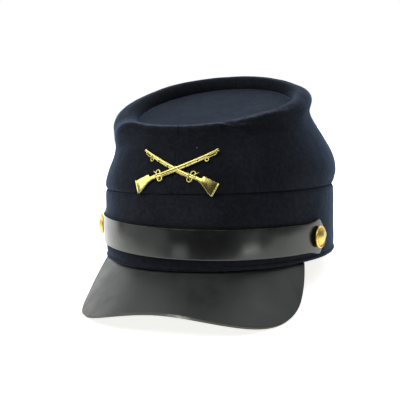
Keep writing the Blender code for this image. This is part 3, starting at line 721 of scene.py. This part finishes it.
def new_piece(name, bm, nodes, materials):
    """A piece from a bmesh in the cap's own frame, tipped to rest, kept off the floor and riding the cap."""
    bm.transform(rest_matrix())
    for vert in bm.verts:
        vert.co.z = max(vert.co.z, FLOOR_GAP)
    mesh = bpy.data.meshes.new(name)
    bm.to_mesh(mesh)
    bm.free()
    mesh.shade_smooth()
    piece = bpy.data.objects.new(name, mesh)
    bpy.context.scene.collection.objects.link(piece)
    for finish in materials:
        mesh.materials.append(finish)
    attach(piece, "root")
    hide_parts(*nodes)
    return piece


def add_wall(piece, thickness, offset, rim_material=0):
    """Gives a sheet its thickness."""
    wall = piece.modifiers.new("Wall", "SOLIDIFY")
    wall.thickness = thickness
    wall.offset = offset
    wall.use_even_offset = True
    wall.use_quality_normals = True
    wall.material_offset_rim = rim_material


def add_bevel(piece, width):
    """Rounds a piece's sharp edges."""
    bevel = piece.modifiers.new("Rounded edge", "BEVEL")
    bevel.width = width
    bevel.segments = 3
    bevel.limit_method = "ANGLE"
    bevel.angle_limit = math.radians(50.0)


def add_subdivision(piece, levels):
    """Smooths a piece."""
    smooth = piece.modifiers.new("Smooth", "SUBSURF")
    smooth.levels = levels
    smooth.render_levels = levels


# Shader helpers


def add_node(tree, kind, inputs=(), **settings):
    """A node with its settings and its inputs by name or number: sockets are linked, the rest is set."""
    made = tree.nodes.new(kind)
    for name, value in settings.items():
        setattr(made, name, value)
    for key, value in dict(inputs).items():
        if isinstance(value, bpy.types.NodeSocket):
            tree.links.new(value, made.inputs[key])
        else:
            made.inputs[key].default_value = value
    return made


def times(tree, first, second):
    """The product of two values."""
    return add_node(tree, "ShaderNodeMath", {0: first, 1: second}, operation="MULTIPLY").outputs[0]


def plus(tree, first, second, clamp=False):
    """The sum of two values."""
    inputs = {0: first, 1: second}
    return add_node(tree, "ShaderNodeMath", inputs, operation="ADD", use_clamp=clamp).outputs[0]


def add_mix(tree, factor, first, second):
    """The result of a colour mix; its colour inputs are numbers 6 and 7."""
    return add_node(tree, "ShaderNodeMix", {0: factor, 6: first, 7: second}, data_type="RGBA").outputs[2]


def add_range(tree, value, low, high, to_low=0.0, to_high=1.0, way="SMOOTHSTEP"):
    """A value carried from one range to another and held inside it."""
    inputs = {0: value, 1: low, 2: high, 3: to_low, 4: to_high}
    return add_node(tree, "ShaderNodeMapRange", inputs, interpolation_type=way).outputs[0]


def add_noise(tree, vector, scale, detail=2.0, rough=0.5, twist=0.0):
    """A noise value over a vector."""
    inputs = {"Vector": vector, "Scale": scale, "Detail": detail, "Roughness": rough, "Distortion": twist}
    return add_node(tree, "ShaderNodeTexNoise", inputs).outputs["Fac"]


def new_group(name, defaults):
    """An empty effect with a Vector and these inputs; returns it, its inputs and its output node."""
    group = bpy.data.node_groups.new(name, "ShaderNodeTree")
    group.interface.new_socket("Vector", in_out="INPUT", socket_type="NodeSocketVector")
    for key, default in defaults.items():
        kind = "NodeSocketFloat" if isinstance(default, float) else "NodeSocketColor"
        group.interface.new_socket(key, in_out="INPUT", socket_type=kind).default_value = default
    group.interface.new_socket("Color", in_out="OUTPUT", socket_type="NodeSocketColor")
    group.interface.new_socket("Height", in_out="OUTPUT", socket_type="NodeSocketFloat")
    group.interface.new_socket("Roughness", in_out="OUTPUT", socket_type="NodeSocketFloat")
    return group, group.nodes.new("NodeGroupInput").outputs, group.nodes.new("NodeGroupOutput")


def finish_group(group, result, colour, height, roughness):
    """Links an effect's results to its outputs."""
    group.links.new(colour, result.inputs["Color"])
    group.links.new(height, result.inputs["Height"])
    group.links.new(roughness, result.inputs["Roughness"])
    return group


def nap_group():
    """Felted cloth: short matted fibres, soft mottling, a few specks of lint, a painted highlight along the
    rim's lip and painted shade in the seam grooves.
    """
    if "Felted nap" in bpy.data.node_groups:
        return bpy.data.node_groups["Felted nap"]
    # Painted highlight colour for the front of the rim's lip, and painted shade colour for the crown's seam
    # grooves
    lip_highlight_colour, seam_shade_colour = (0.070, 0.075, 0.108, 1), (0.0012, 0.0013, 0.0018, 1)
    colours = {"Ground": (0.02, 0.02, 0.03, 1), "Nap": (0.04, 0.04, 0.05, 1), "Lint": (0.4, 0.4, 0.4, 1)}
    numbers = {"Fibre Scale": 1500.0, "Lint Share": 0.1, "Crease": 0.0, "Worn": 0.0}
    group, given, result = new_group("Felted nap", {**colours, **numbers})
    place, fine = given["Vector"], given["Fibre Scale"]
    fibres = add_noise(group, place, fine, 4.0, 0.65, 1.2)
    coarse = add_noise(group, place, times(group, fine, 0.22), 3.0, 0.6, 0.6)
    cloud = add_noise(group, place, 22.0, 3.0, 0.55)
    nap = times(group, add_range(group, fibres, 0.35, 0.72), 0.40)
    nap = plus(group, nap, add_range(group, coarse, 0.3, 0.75, -0.1, 0.25))
    nap = plus(group, nap, add_range(group, cloud, 0.3, 0.7, -0.14, 0.16), clamp=True)
    cloth = add_mix(group, nap, given["Ground"], given["Nap"])
    cells = add_node(group, "ShaderNodeTexVoronoi", {"Vector": place, "Scale": 85.0, "Randomness": 1.0})
    bend = times(group, add_noise(group, place, 900.0, 1.0), 0.05)
    speck = add_range(group, plus(group, cells.outputs["Distance"], bend), 0.045, 0.075, 1.0, 0.0)
    picked = add_node(group, "ShaderNodeSeparateColor", {0: cells.outputs["Color"]}).outputs[0]
    inputs = {0: picked, 1: given["Lint Share"]}
    kept = add_node(group, "ShaderNodeMath", inputs, operation="LESS_THAN").outputs[0]
    speck = times(group, times(group, speck, kept), 0.40)
    # Painted highlight: the wool along the front of the rim's lip is lightened
    worn = times(group, given["Worn"], add_range(group, coarse, 0.3, 0.7, 0.4, 1.0))
    cloth = add_mix(group, worn, cloth, lip_highlight_colour)
    # Painted shade: the crown's seam grooves are darkened almost to black
    cloth = add_mix(group, given["Crease"], cloth, seam_shade_colour)
    cloth = add_mix(group, speck, cloth, given["Lint"])
    height = plus(group, fibres, times(group, coarse, 1.4))
    return finish_group(group, result, cloth, height, add_range(group, coarse, 0.3, 0.7, 0.98, 0.84))


def grain_group():
    """Leather: fine pebbled grain, slow waves, pores and handling marks."""
    if "Leather grain" in bpy.data.node_groups:
        return bpy.data.node_groups["Leather grain"]
    dusty = (0.018, 0.019, 0.0185, 1)
    colours = {"Color": (0.02, 0.02, 0.02, 1), "Worn": (0.1, 0.1, 0.1, 1)}
    numbers = {"Grain Scale": 1400.0, "Smooth": 0.3, "Rough": 0.5, "Wave": 1.0, "Edge": 0.0}
    group, given, result = new_group("Leather grain", {**colours, **numbers})
    place = given["Vector"]
    inputs = {"Vector": place, "Scale": given["Grain Scale"]}
    cells = add_node(group, "ShaderNodeTexVoronoi", inputs, feature="SMOOTH_F1").outputs["Distance"]
    pores = add_noise(group, place, 2600.0, 2.0, 0.7)
    wave = add_noise(group, place, 170.0, 2.0, 0.45, 0.4)
    slow = add_noise(group, place, 42.0, 2.0, 0.5)
    marks = add_range(group, add_noise(group, place, 310.0, 3.0, 0.7, 1.5), 0.58, 0.78)
    height = plus(group, times(group, cells, 0.10), times(group, pores, 0.05))
    height = plus(group, height, times(group, plus(group, wave, slow), given["Wave"]))
    mottle = add_range(group, plus(group, slow, times(group, wave, 0.5)), 0.5, 1.0)
    rough = add_range(group, mottle, 0.0, 1.0, given["Smooth"], given["Rough"], "LINEAR")
    rough = plus(group, rough, times(group, marks, 0.03))
    rubbed = times(group, given["Edge"], add_range(group, wave, 0.35, 0.75, 0.25, 1.0))
    tone = add_mix(group, times(group, mottle, 0.35), given["Color"], dusty)
    return finish_group(group, result, add_mix(group, rubbed, tone, given["Worn"]), height, rough)


def tarnish_group():
    """Brass: a warm polish that dulls in soft patches, in the buttons' grooves, and with painted shade on the
    badge's low parts.
    """
    if "Brass tarnish" in bpy.data.node_groups:
        return bpy.data.node_groups["Brass tarnish"]
    colours = {"Bright": (0.8, 0.6, 0.2, 1), "Dull": (0.4, 0.3, 0.1, 1)}
    group, given, result = new_group("Brass tarnish", {**colours, "Hollow": 0.0, "Polish": 0.2})
    patch = add_noise(group, given["Vector"], 260.0, 4.0, 0.6, 0.8)
    fine = add_noise(group, given["Vector"], 1900.0, 3.0, 0.6)
    # Real tarnish in soft patches, plus the marked places: dull grooves on the buttons, painted shade on the
    # badge's low parts
    dull = plus(group, add_range(group, patch, 0.42, 0.78, 0.0, 0.4), given["Hollow"], clamp=True)
    colour = add_mix(group, dull, given["Bright"], given["Dull"])
    rough = plus(group, given["Polish"], times(group, dull, 0.22))
    rough = plus(group, rough, times(group, fine, 0.08))
    return finish_group(group, result, colour, plus(group, fine, patch), rough)


def finished_material(name, group, inputs, bump, settings):
    """A material fed by a group's colour, roughness and height: of its inputs, words name attributes."""
    if name in bpy.data.materials:
        return bpy.data.materials[name]
    made = bpy.data.materials.new(name)
    made.use_nodes = True
    tree = made.node_tree
    shader = tree.nodes["Principled BSDF"]
    for key, value in settings.items():
        shader.inputs[key].default_value = value
    placed = add_node(tree, "ShaderNodeTexCoord").outputs["Object"]
    effect = add_node(tree, "ShaderNodeGroup", {"Vector": placed}, node_tree=group)
    for key, value in inputs.items():
        if isinstance(value, str):
            read = add_node(tree, "ShaderNodeAttribute", attribute_name=value)
            tree.links.new(read.outputs["Fac"], effect.inputs[key])
        else:
            effect.inputs[key].default_value = value
    inputs = {"Strength": bump[0], "Distance": bump[1], "Height": effect.outputs["Height"]}
    relief = add_node(tree, "ShaderNodeBump", inputs)
    tree.links.new(effect.outputs["Color"], shader.inputs["Base Color"])
    tree.links.new(effect.outputs["Roughness"], shader.inputs["Roughness"])
    tree.links.new(relief.outputs["Normal"], shader.inputs["Normal"])
    return made


def wool_material(finish):
    """Navy felted wool, with painted shade in the crown's seam grooves and a painted highlight along the front
    of the rim's lip.
    """
    return finished_material(
        "navy wool",
        nap_group(),
        {
            "Ground": finish.wool,
            "Nap": finish.wool_light,
            "Lint": finish.lint,
            "Fibre Scale": 1500.0,
            "Lint Share": 0.34,
            "Crease": "crease",
            "Worn": "worn",
        },
        (0.28, 0.0003),
        {
            "Specular IOR Level": 0.05,
            "Sheen Weight": 0.25,
            "Sheen Roughness": 0.34,
            "Sheen Tint": (0.37, 0.58, 0.98, 1.0),
        },
    )


def leather_material(name, finish, colour, values, bump, settings):
    """Leather of this colour, whose edges are rubbed lighter."""
    inputs = {"Color": colour, "Worn": finish.leather_worn, "Edge": "edge", **values}
    return finished_material(name, grain_group(), inputs, bump, settings)


def strap_material(finish):
    """Polished black leather."""
    smooth = finish.strap_roughness
    values = {"Grain Scale": 1700.0, "Smooth": smooth, "Rough": smooth + 0.06, "Wave": 0.10}
    gloss = {
        "Specular IOR Level": 0.55,
        "Specular Tint": (0.94, 1.0, 0.96, 1.0),
        "Coat Weight": 0.10,
        "Coat Roughness": 0.2,
    }
    return leather_material("polished black leather", finish, finish.leather, values, (0.22, 0.0004), gloss)


def peak_material(finish):
    """Black leather with a soft sheen."""
    smooth = finish.peak_roughness
    values = {"Grain Scale": 1500.0, "Smooth": smooth, "Rough": smooth + 0.1, "Wave": 0.12}
    gloss = {"Specular IOR Level": 0.6, "Specular Tint": (0.93, 1.0, 0.97, 1.0)}
    return leather_material("black leather", finish, finish.leather, values, (0.25, 0.0005), gloss)


def cut_edge_material(finish):
    """The cut edge of the peak, brown under its worn blacking."""
    values = {"Grain Scale": 2200.0, "Smooth": 0.55, "Rough": 0.75, "Wave": 0.3}
    gloss = {"Specular IOR Level": 0.35}
    return leather_material("cut leather edge", finish, finish.leather_edge, values, (0.5, 0.0004), gloss)


def brass_material(finish):
    """The badge's pale brass, darkened and dulled with painted shade on its low parts."""
    inputs = {"Bright": finish.brass, "Dull": finish.brass_tarnish_and_shade, "Polish": 0.15, "Hollow": "hollow"}
    return finished_material("badge brass", tarnish_group(), inputs, (0.12, 0.00012), {"Metallic": 1.0})


def gilt_material(finish):
    """The buttons' golden brass."""
    inputs = {"Bright": finish.gilt, "Dull": finish.gilt_deep, "Polish": 0.36, "Hollow": "hollow"}
    return finished_material("button brass", tarnish_group(), inputs, (0.2, 0.00012), {"Metallic": 1.0})


# Pieces


def make_band(cap, finish):
    """The lower band, with a turned hem and a top edge rolled in to the seam."""
    section = [Vector(row) for row in BAND_SECTION]
    top = cap.band_height - cap.clearance

    def place(u, v):
        turn = -math.pi + 2 * math.pi * u
        at = v * len(section)
        number = int(at) % len(section)
        spot = section[number].lerp(section[(number + 1) % len(section)], at - int(at))
        height = spot.x * cap.hem_roll if spot.x <= 1 else cap.hem_roll + (spot.x - 1) * (top - cap.hem_roll)
        grow = spot.y * cap.band_wall
        point = cap.hem_point(turn, height, grow)
        if spot.y > -0.5:
            middle = math.sin(math.pi * held(height / top))
            pucker = math.sin(turn * 80 + 3 * noise.noise(point * 30)) * noise.noise(point * 60)
            push = ripple(point) * (0.25 + middle)
            push += cap.pucker_depth * pucker * math.exp(-(top - height) / cap.pucker_reach)
            push += cap.wrinkle_depth * noise.noise(point * 140) * math.exp(-height / cap.wrinkle_reach)
            point += cap.hem_normal(turn) * push
        return point

    bm = mapped_grid(360, 4 * len(section), place, (0.6, 0.11))
    bmesh.ops.recalc_face_normals(bm, faces=bm.faces)
    new_piece("wool_band", bm, ["band"], [wool_material(finish)])


def make_crown_panel(cap, finish, name, side):
    """One panel of the crown, from the leaning front seam round to the back and over the rolled rim."""
    end = side * math.pi
    around = math.pi * cap.rim_width / 2

    def place(u, v):
        rise = row_at(CROWN_ROWS, v)[0]
        start = cap.seam_turn(rise)
        part = u - 0.75 * math.sin(2 * math.pi * u) / (2 * math.pi)
        turn = start + (end - start) * part
        from_seam = min(part, 1 - part) * around
        return cap.crown_point(turn, rise, from_seam)

    bm = mapped_grid(190, 110, place, (around, 0.11))
    face_out(bm)
    # Painted shade darkening the seam grooves, stored on the vertices
    crease = bm.verts.layers.float.new("crease")
    # Painted highlight along the front of the rim's lip, stored on the vertices
    worn = bm.verts.layers.float.new("worn")
    for vert in bm.verts:
        vert[worn] = cap.lip_highlight_share(vert.co)
        vert[crease] = cap.seam_shade(vert.co)
    piece = new_piece("wool_" + name, bm, [name], [wool_material(finish)])
    add_wall(piece, cap.crown_wall, -1.0)


def make_top(cap, finish):
    """The round top, sagging a little, its edge turned down into the roll."""
    centre, _, up = cap.rim_axes(0.0)
    radius = cap.rim_width / 2 - cap.roll_outer - cap.roll_inner - cap.clearance

    def place(u, v):
        turn = 2 * math.pi * u
        out = cap.rim_axes(turn)[1]
        sag = cap.top_sag * (1 - v**2) + cap.top_edge_drop * max((v - 0.93) / 0.07, 0.0) ** 2
        flat = centre + out * radius * v
        return flat - up * (cap.top_sink + sag - ripple(flat) * 0.8)

    bm = mapped_grid(128, 48, place, (0.4, 0.06))
    face_out(bm, up)
    piece = new_piece("wool_top", bm, ["top_disc"], [wool_material(finish)])
    add_wall(piece, cap.top_wall - 2 * cap.slack, -1.0)


def make_peak(cap, finish):
    """The leather peak: one smooth sheet with a rounded cut edge."""
    bm = mapped_grid(220, 44, lambda u, v: cap.peak_point(2 * u - 1, v), (0.25, 0.05))
    face_out(bm, Vector((0, 0, 1)))
    edge = bm.verts.layers.float.new("edge")
    for vert in bm.verts:
        free = vert.is_boundary and math.hypot(vert.co.x / cap.hem_width, vert.co.y / cap.hem_length) > 0.501
        vert[edge] = 0.04 + 0.9 * bell(vert.co.x, cap.rubbed_place, cap.rubbed_reach) if free else 0.0
    materials = [peak_material(finish), cut_edge_material(finish)]
    piece = new_piece("leather_peak", bm, ["peak"], materials)
    add_wall(piece, cap.peak_wall, -1.0, 1)
    add_bevel(piece, cap.peak_edge_rounding)


def make_strap(cap, finish):
    """The polished strap across the front, crowned across its width and pointed past its buttons."""
    rate = cap.hem_rate(cap.button_turn)
    tip = cap.button_turn + STRAP_END[-1][0] * cap.strap_width / rate

    def place(u, v):
        level = 2 * v - 1
        swing = 2 * u - 1
        turn = tip * (swing - 0.10 * math.sin(math.pi * swing))
        past = (abs(turn) - cap.button_turn) * rate / cap.strap_width
        half = row_at(STRAP_END, max(past, STRAP_END[0][0]))[0] * cap.strap_width
        height = cap.strap_middle(turn) + level * half
        wave = cap.strap_waves * noise.noise(Vector((turn * 6, level, 0)))
        return cap.hem_point(turn, height, cap.clearance + cap.strap_crowning * (1 - level**2) + wave)

    bm = mapped_grid(260, 24, place, (0.26, cap.strap_width))
    face_out(bm)
    edge = bm.verts.layers.float.new("edge")
    for vert in bm.verts:
        vert[edge] = 0.10 if vert.is_boundary else 0.0
    piece = new_piece("leather_strap", bm, ["chin_strap"], [strap_material(finish)])
    add_wall(piece, cap.strap_wall - cap.slack, 1.0)
    add_bevel(piece, cap.strap_edge_rounding)


def button_matrix(cap, side):
    """A matrix with its Z axis straight out through a side button, its origin under the button's rim."""
    turn = side * cap.button_turn
    out = Matrix.Rotation(side * cap.button_lean(side), 3, "Z") @ cap.hem_normal(turn)
    across = Vector((0, 0, 1)).cross(out)
    axes = Matrix((across, out.cross(across), out)).transposed().to_4x4()
    place = cap.hem_point(turn, cap.strap_middle(turn)) + out * cap.button_outside(side)
    return Matrix.Translation(place) @ axes


def spun(profile, steps):
    """A solid spun round Z from (radius, height) points; its ends lie on the axis."""
    bm = bmesh.new()
    verts = [bm.verts.new((radius, 0, height)) for radius, height in profile]
    for first, second in zip(verts, verts[1:]):
        bm.edges.new((first, second))
    geometry = bm.verts[:] + bm.edges[:]
    bmesh.ops.spin(bm, geom=geometry, axis=(0, 0, 1), angle=2 * math.pi, steps=steps, use_merge=True)
    bmesh.ops.remove_doubles(bm, verts=bm.verts, dist=1e-6)
    return bm


def make_button(cap, finish, name, side):
    """A domed side button with a rolled rim, its shank through the strap and the band."""
    half = cap.button_width / 2
    shank, head = cap.shank_radius, cap.shank_head
    reach = cap.button_outside(side) + 2 * cap.clearance + cap.band_wall
    reach += head * math.tan(abs(cap.button_lean(side)))
    end = reach + cap.shank_head_wall
    profile = [(half * out, dome * cap.button_dome + rim * cap.button_rim) for out, dome, rim in BUTTON_FACE]
    profile += [(shank, 0.0), (shank, -reach), (head, -reach), (head, -end), (0.0, -end)]
    bm = spun(profile, 64)
    hollow = bm.verts.layers.float.new("hollow")
    for vert in bm.verts:
        out = math.hypot(vert.co.x, vert.co.y) / half
        vert[hollow] = bell(out, 0.81, 0.05) if vert.co.z > 0 else 0.5
    bm.transform(button_matrix(cap, side))
    bmesh.ops.recalc_face_normals(bm, faces=bm.faces)
    piece = new_piece("brass_" + name, bm, [name], [gilt_material(finish)])
    add_subdivision(piece, 1)


def rounded(bm, edges, width, segments):
    """Rounds some edges of a bmesh."""
    bmesh.ops.bevel(
        bm, geom=edges, offset=width, segments=segments, profile=0.5, affect="EDGES", material=-1
    )


def rod(start, end, across, first, last, height, size):
    """A tapered rod along X with rounded ends, from shares of a gun's length."""
    bm = bmesh.new()
    lying = Matrix.Rotation(math.pi / 2, 4, "Y")
    middle = Matrix.Translation(((start + end) / 2 * size, across * size, height * size))
    bmesh.ops.create_cone(
        bm,
        cap_ends=True,
        segments=20,
        radius1=first * size,
        radius2=last * size,
        depth=(end - start) * size,
        matrix=middle @ lying,
    )
    rims = [edge for edge in bm.edges if any(len(face.verts) > 4 for face in edge.link_faces)]
    rounded(bm, rims, 0.2 * min(first, last) * size, 2)
    return bm


def stock(size, wall, fillet):
    """The flat stock of a gun with its upper edges rounded."""
    bm = bmesh.new()
    face = bm.faces.new([bm.verts.new((along * size, across * size, 0)) for along, across in STOCK_OUTLINE])
    raised = bmesh.ops.extrude_face_region(bm, geom=[face])["geom"]
    tops = [item for item in raised if isinstance(item, bmesh.types.BMVert)]
    bmesh.ops.translate(bm, verts=tops, vec=(0, 0, wall))
    bmesh.ops.recalc_face_normals(bm, faces=bm.faces)
    rounded(bm, [item for item in raised if isinstance(item, bmesh.types.BMEdge)], fillet, 3)
    return bm


def wire_ring(along, across, radius, wire, height, size):
    """A ring of round wire, from shares of a gun's length, its middle at this height."""
    bm = bmesh.new()
    upright = Matrix.Translation((radius * size, 0, 0)) @ Matrix.Rotation(math.pi / 2, 4, "X")
    bmesh.ops.create_circle(bm, segments=10, radius=wire * size, matrix=upright)
    geometry = bm.verts[:] + bm.edges[:]
    bmesh.ops.spin(bm, geom=geometry, axis=(0, 0, 1), angle=2 * math.pi, steps=28, use_merge=True)
    bm.transform(Matrix.Translation((along * size, across * size, height)))
    return bm


def gun_parts(cap):
    """The flat solids of one gun: stock, rods, bands, rings, trigger, hammer and butt plate."""
    size = cap.gun_length
    parts = [stock(size, cap.gun_wall, cap.stock_fillet)]
    parts += [rod(*row, size) for row in GUN_RODS]
    parts += [wire_ring(*row, cap.ring_height, size) for row in GUN_RINGS]
    for along, across, degrees, half, first, last, height in GUN_PINS:
        pin = rod(-half, half, 0.0, first, last, height, size)
        turned = Matrix.Rotation(math.radians(degrees), 4, "Z")
        pin.transform(Matrix.Translation((along * size, across * size, 0)) @ turned)
        parts.append(pin)
    return parts


def make_badge(cap, finish):
    """The badge: two crossed guns, the one with its muzzle at the right on top, bent round the crown."""
    whole = bmesh.new()
    for side, lift, slope in ((1, cap.gun_step, cap.gun_turn_upper), (-1, 0.0, cap.gun_turn_lower)):
        centred = Matrix.Translation((-cap.gun_length / 2, 0, 0))
        turned = Matrix.Rotation(slope, 4, "Z") @ centred
        if side < 0:
            turned = Matrix.Scale(-1, 4, (1, 0, 0)) @ turned
        for part in gun_parts(cap):
            part.transform(Matrix.Translation((0, 0, lift)) @ turned)
            bmesh.ops.recalc_face_normals(part, faces=part.faces)
            carrier = bpy.data.meshes.new("part")
            part.to_mesh(carrier)
            part.free()
            whole.from_mesh(carrier)
            bpy.data.meshes.remove(carrier)
    steps = 22
    for number in range(-steps, steps + 1):
        spot = Vector(((number + 0.43) * cap.gun_length / 2 / steps, 0, 0))
        geometry = whole.verts[:] + whole.edges[:] + whole.faces[:]
        bmesh.ops.bisect_plane(whole, geom=geometry, dist=1e-7, plane_co=spot, plane_no=(1, 0, 0))
    # Painted shade: the nearer the brass lies to the wool, the darker and duller it is made
    hollow = whole.verts.layers.float.new("hollow")
    for vert in whole.verts:
        vert[hollow] = held(1.1 - vert.co.z / cap.painted_shade_height)
        vert.co = cap.badge_point(vert.co)
    piece = new_piece("brass_badge", whole, ["badge"], [brass_material(finish)])
    piece.data.set_sharp_from_angle(angle=math.radians(38.0))


def camera_matrix():
    """The photo's camera in the frame in which the cap rests."""
    back = direction(VIEW_AZIMUTH, VIEW_ELEVATION)
    right = Vector((math.cos(VIEW_AZIMUTH), math.sin(VIEW_AZIMUTH), 0))
    up = back.cross(right)
    place = right * VIEW_ASIDE + Vector((0, 0, VIEW_HEIGHT)) + back * VIEW_DISTANCE
    level = Matrix((right, up, back)).transposed().to_4x4()
    return rest_matrix() @ Matrix.Translation(place) @ level @ Matrix.Rotation(VIEW_ROLL, 4, "Z")


def make_camera():
    """The camera at the photo's angle."""
    data = bpy.data.cameras.new("camera")
    data.sensor_width = SENSOR_WIDTH
    data.lens = LENS
    data.clip_start = 0.01
    camera = bpy.data.objects.new("camera", data)
    bpy.context.scene.collection.objects.link(camera)
    camera.matrix_world = camera_matrix()
    bpy.context.scene.camera = camera


def make_floor(stage):
    """The plain pale floor."""
    bm = bmesh.new()
    bmesh.ops.create_grid(bm, x_segments=4, y_segments=4, size=stage.floor_size / 2)
    behind = Matrix.Translation((0, stage.floor_size / 2 - stage.floor_front, 0))
    bm.transform(Matrix.Rotation(VIEW_AZIMUTH, 4, "Z") @ behind)
    mesh = bpy.data.meshes.new("floor")
    bm.to_mesh(mesh)
    bm.free()
    pale = bpy.data.materials.new("pale floor")
    pale.use_nodes = True
    shader = pale.node_tree.nodes["Principled BSDF"]
    shader.inputs["Base Color"].default_value = stage.floor
    shader.inputs["Roughness"].default_value = 0.9
    shader.inputs["Specular IOR Level"].default_value = 0.1
    shader.inputs["Emission Color"].default_value = (1.0, 0.995, 0.965, 1.0)
    shader.inputs["Emission Strength"].default_value = stage.glow
    mesh.materials.append(pale)
    floor = bpy.data.objects.new("floor", mesh)
    bpy.context.scene.collection.objects.link(floor)


def make_light(name, azimuth, elevation, distance, width, height, radiance):
    """A soft light that faces the cap and isn't seen itself."""
    away = direction(VIEW_AZIMUTH + math.radians(azimuth), math.radians(elevation))
    data = bpy.data.lights.new(name, "AREA")
    data.shape = "RECTANGLE"
    data.size = width
    data.size_y = height
    data.energy = radiance * math.pi * width * height
    light = bpy.data.objects.new(name, data)
    bpy.context.scene.collection.objects.link(light)
    light.location = Vector((0, 0, 0.05)) + away * distance
    light.rotation_euler = away.to_track_quat("Z", "Y").to_euler()
    light.visible_camera = False


def make_surroundings(strength):
    """Even surroundings that light the cap softly and look white behind it."""
    world = bpy.data.worlds.new("studio")
    bpy.context.scene.world = world
    world.use_nodes = True
    tree = world.node_tree
    even = tree.nodes["Background"]
    even.inputs["Color"].default_value = (1.0, 1.0, 1.0, 1.0)
    even.inputs["Strength"].default_value = strength
    white = add_node(tree, "ShaderNodeBackground", {"Color": (1.0, 1.0, 1.0, 1.0), "Strength": 1.0})
    seen = add_node(tree, "ShaderNodeLightPath").outputs["Is Camera Ray"]
    mix = add_node(tree, "ShaderNodeMixShader", {0: seen, 1: even.outputs[0], 2: white.outputs[0]})
    tree.links.new(mix.outputs[0], tree.nodes["World Output"].inputs["Surface"])


# Operators


class KEPI_OT_stage(bpy.types.Operator):
    """Sets up the camera, the floor and the lights"""

    bl_idname = "kepi.stage"
    bl_label = "Stage"

    def execute(self, context):
        stage = context.scene.kepi_stage
        make_camera()
        make_floor(stage)
        make_surroundings(stage.sky)
        for *place, radiance in LIGHTS:
            make_light(*place, radiance * stage.light)
        context.scene.view_settings.view_transform = "Standard"
        return {"FINISHED"}


class KEPI_OT_band(bpy.types.Operator):
    """Builds the wool band"""

    bl_idname = "kepi.band"
    bl_label = "Band"

    def execute(self, context):
        make_band(Cap(context.scene), context.scene.kepi_finish)
        return {"FINISHED"}


class KEPI_OT_crown(bpy.types.Operator):
    """Builds the crown's two wool panels"""

    bl_idname = "kepi.crown"
    bl_label = "Crown"

    def execute(self, context):
        cap = Cap(context.scene)
        make_crown_panel(cap, context.scene.kepi_finish, "crown_left", 1)
        make_crown_panel(cap, context.scene.kepi_finish, "crown_right", -1)
        return {"FINISHED"}


class KEPI_OT_top(bpy.types.Operator):
    """Builds the round top"""

    bl_idname = "kepi.top"
    bl_label = "Top"

    def execute(self, context):
        make_top(Cap(context.scene), context.scene.kepi_finish)
        return {"FINISHED"}


class KEPI_OT_peak(bpy.types.Operator):
    """Builds the leather peak"""

    bl_idname = "kepi.peak"
    bl_label = "Peak"

    def execute(self, context):
        make_peak(Cap(context.scene), context.scene.kepi_finish)
        return {"FINISHED"}


class KEPI_OT_strap(bpy.types.Operator):
    """Builds the leather strap"""

    bl_idname = "kepi.strap"
    bl_label = "Strap"

    def execute(self, context):
        make_strap(Cap(context.scene), context.scene.kepi_finish)
        return {"FINISHED"}


class KEPI_OT_buttons(bpy.types.Operator):
    """Builds the two side buttons"""

    bl_idname = "kepi.buttons"
    bl_label = "Buttons"

    def execute(self, context):
        cap = Cap(context.scene)
        make_button(cap, context.scene.kepi_finish, "button_left", 1)
        make_button(cap, context.scene.kepi_finish, "button_right", -1)
        return {"FINISHED"}


class KEPI_OT_badge(bpy.types.Operator):
    """Builds the badge of crossed guns"""

    bl_idname = "kepi.badge"
    bl_label = "Badge"

    def execute(self, context):
        make_badge(Cap(context.scene), context.scene.kepi_finish)
        return {"FINISHED"}


OPERATORS = (
    KEPI_OT_stage,
    KEPI_OT_band,
    KEPI_OT_crown,
    KEPI_OT_top,
    KEPI_OT_peak,
    KEPI_OT_strap,
    KEPI_OT_buttons,
    KEPI_OT_badge,
)


class KEPI_PT_panel(bpy.types.Panel):
    """Lists the cap's sizes, finishes and pieces"""

    bl_label = "Kepi cap"
    bl_idname = "KEPI_PT_panel"
    bl_space_type = "VIEW_3D"
    bl_region_type = "UI"
    bl_category = "Kepi"

    def draw(self, context):
        for operator in OPERATORS:
            self.layout.operator(operator.bl_idname)
        for key in GROUPS:
            group, box = getattr(context.scene, key), self.layout.box()
            for name in property_names(group):
                box.prop(group, name)


GROUPS = {
    "kepi_shape": KepiShape,
    "kepi_trim": KepiTrim,
    "kepi_finish": KepiFinish,
    "kepi_stage": KepiStage,
}
CLASSES = (*GROUPS.values(), *OPERATORS, KEPI_PT_panel)


def register():
    """Registers the classes and hangs the property groups on the scene."""
    for item in CLASSES:
        bpy.utils.register_class(item)
    for name, group in GROUPS.items():
        setattr(bpy.types.Scene, name, PointerProperty(type=group))


def unregister():
    """Takes them away again."""
    for name in GROUPS:
        delattr(bpy.types.Scene, name)
    for item in reversed(CLASSES):
        bpy.utils.unregister_class(item)


def main():
    """Builds the stage and every piece."""
    register()
    bpy.ops.kepi.stage()
    bpy.ops.kepi.band()
    bpy.ops.kepi.crown()
    bpy.ops.kepi.top()
    bpy.ops.kepi.peak()
    bpy.ops.kepi.strap()
    bpy.ops.kepi.buttons()
    bpy.ops.kepi.badge()


if __name__ == "__main__":
    main()
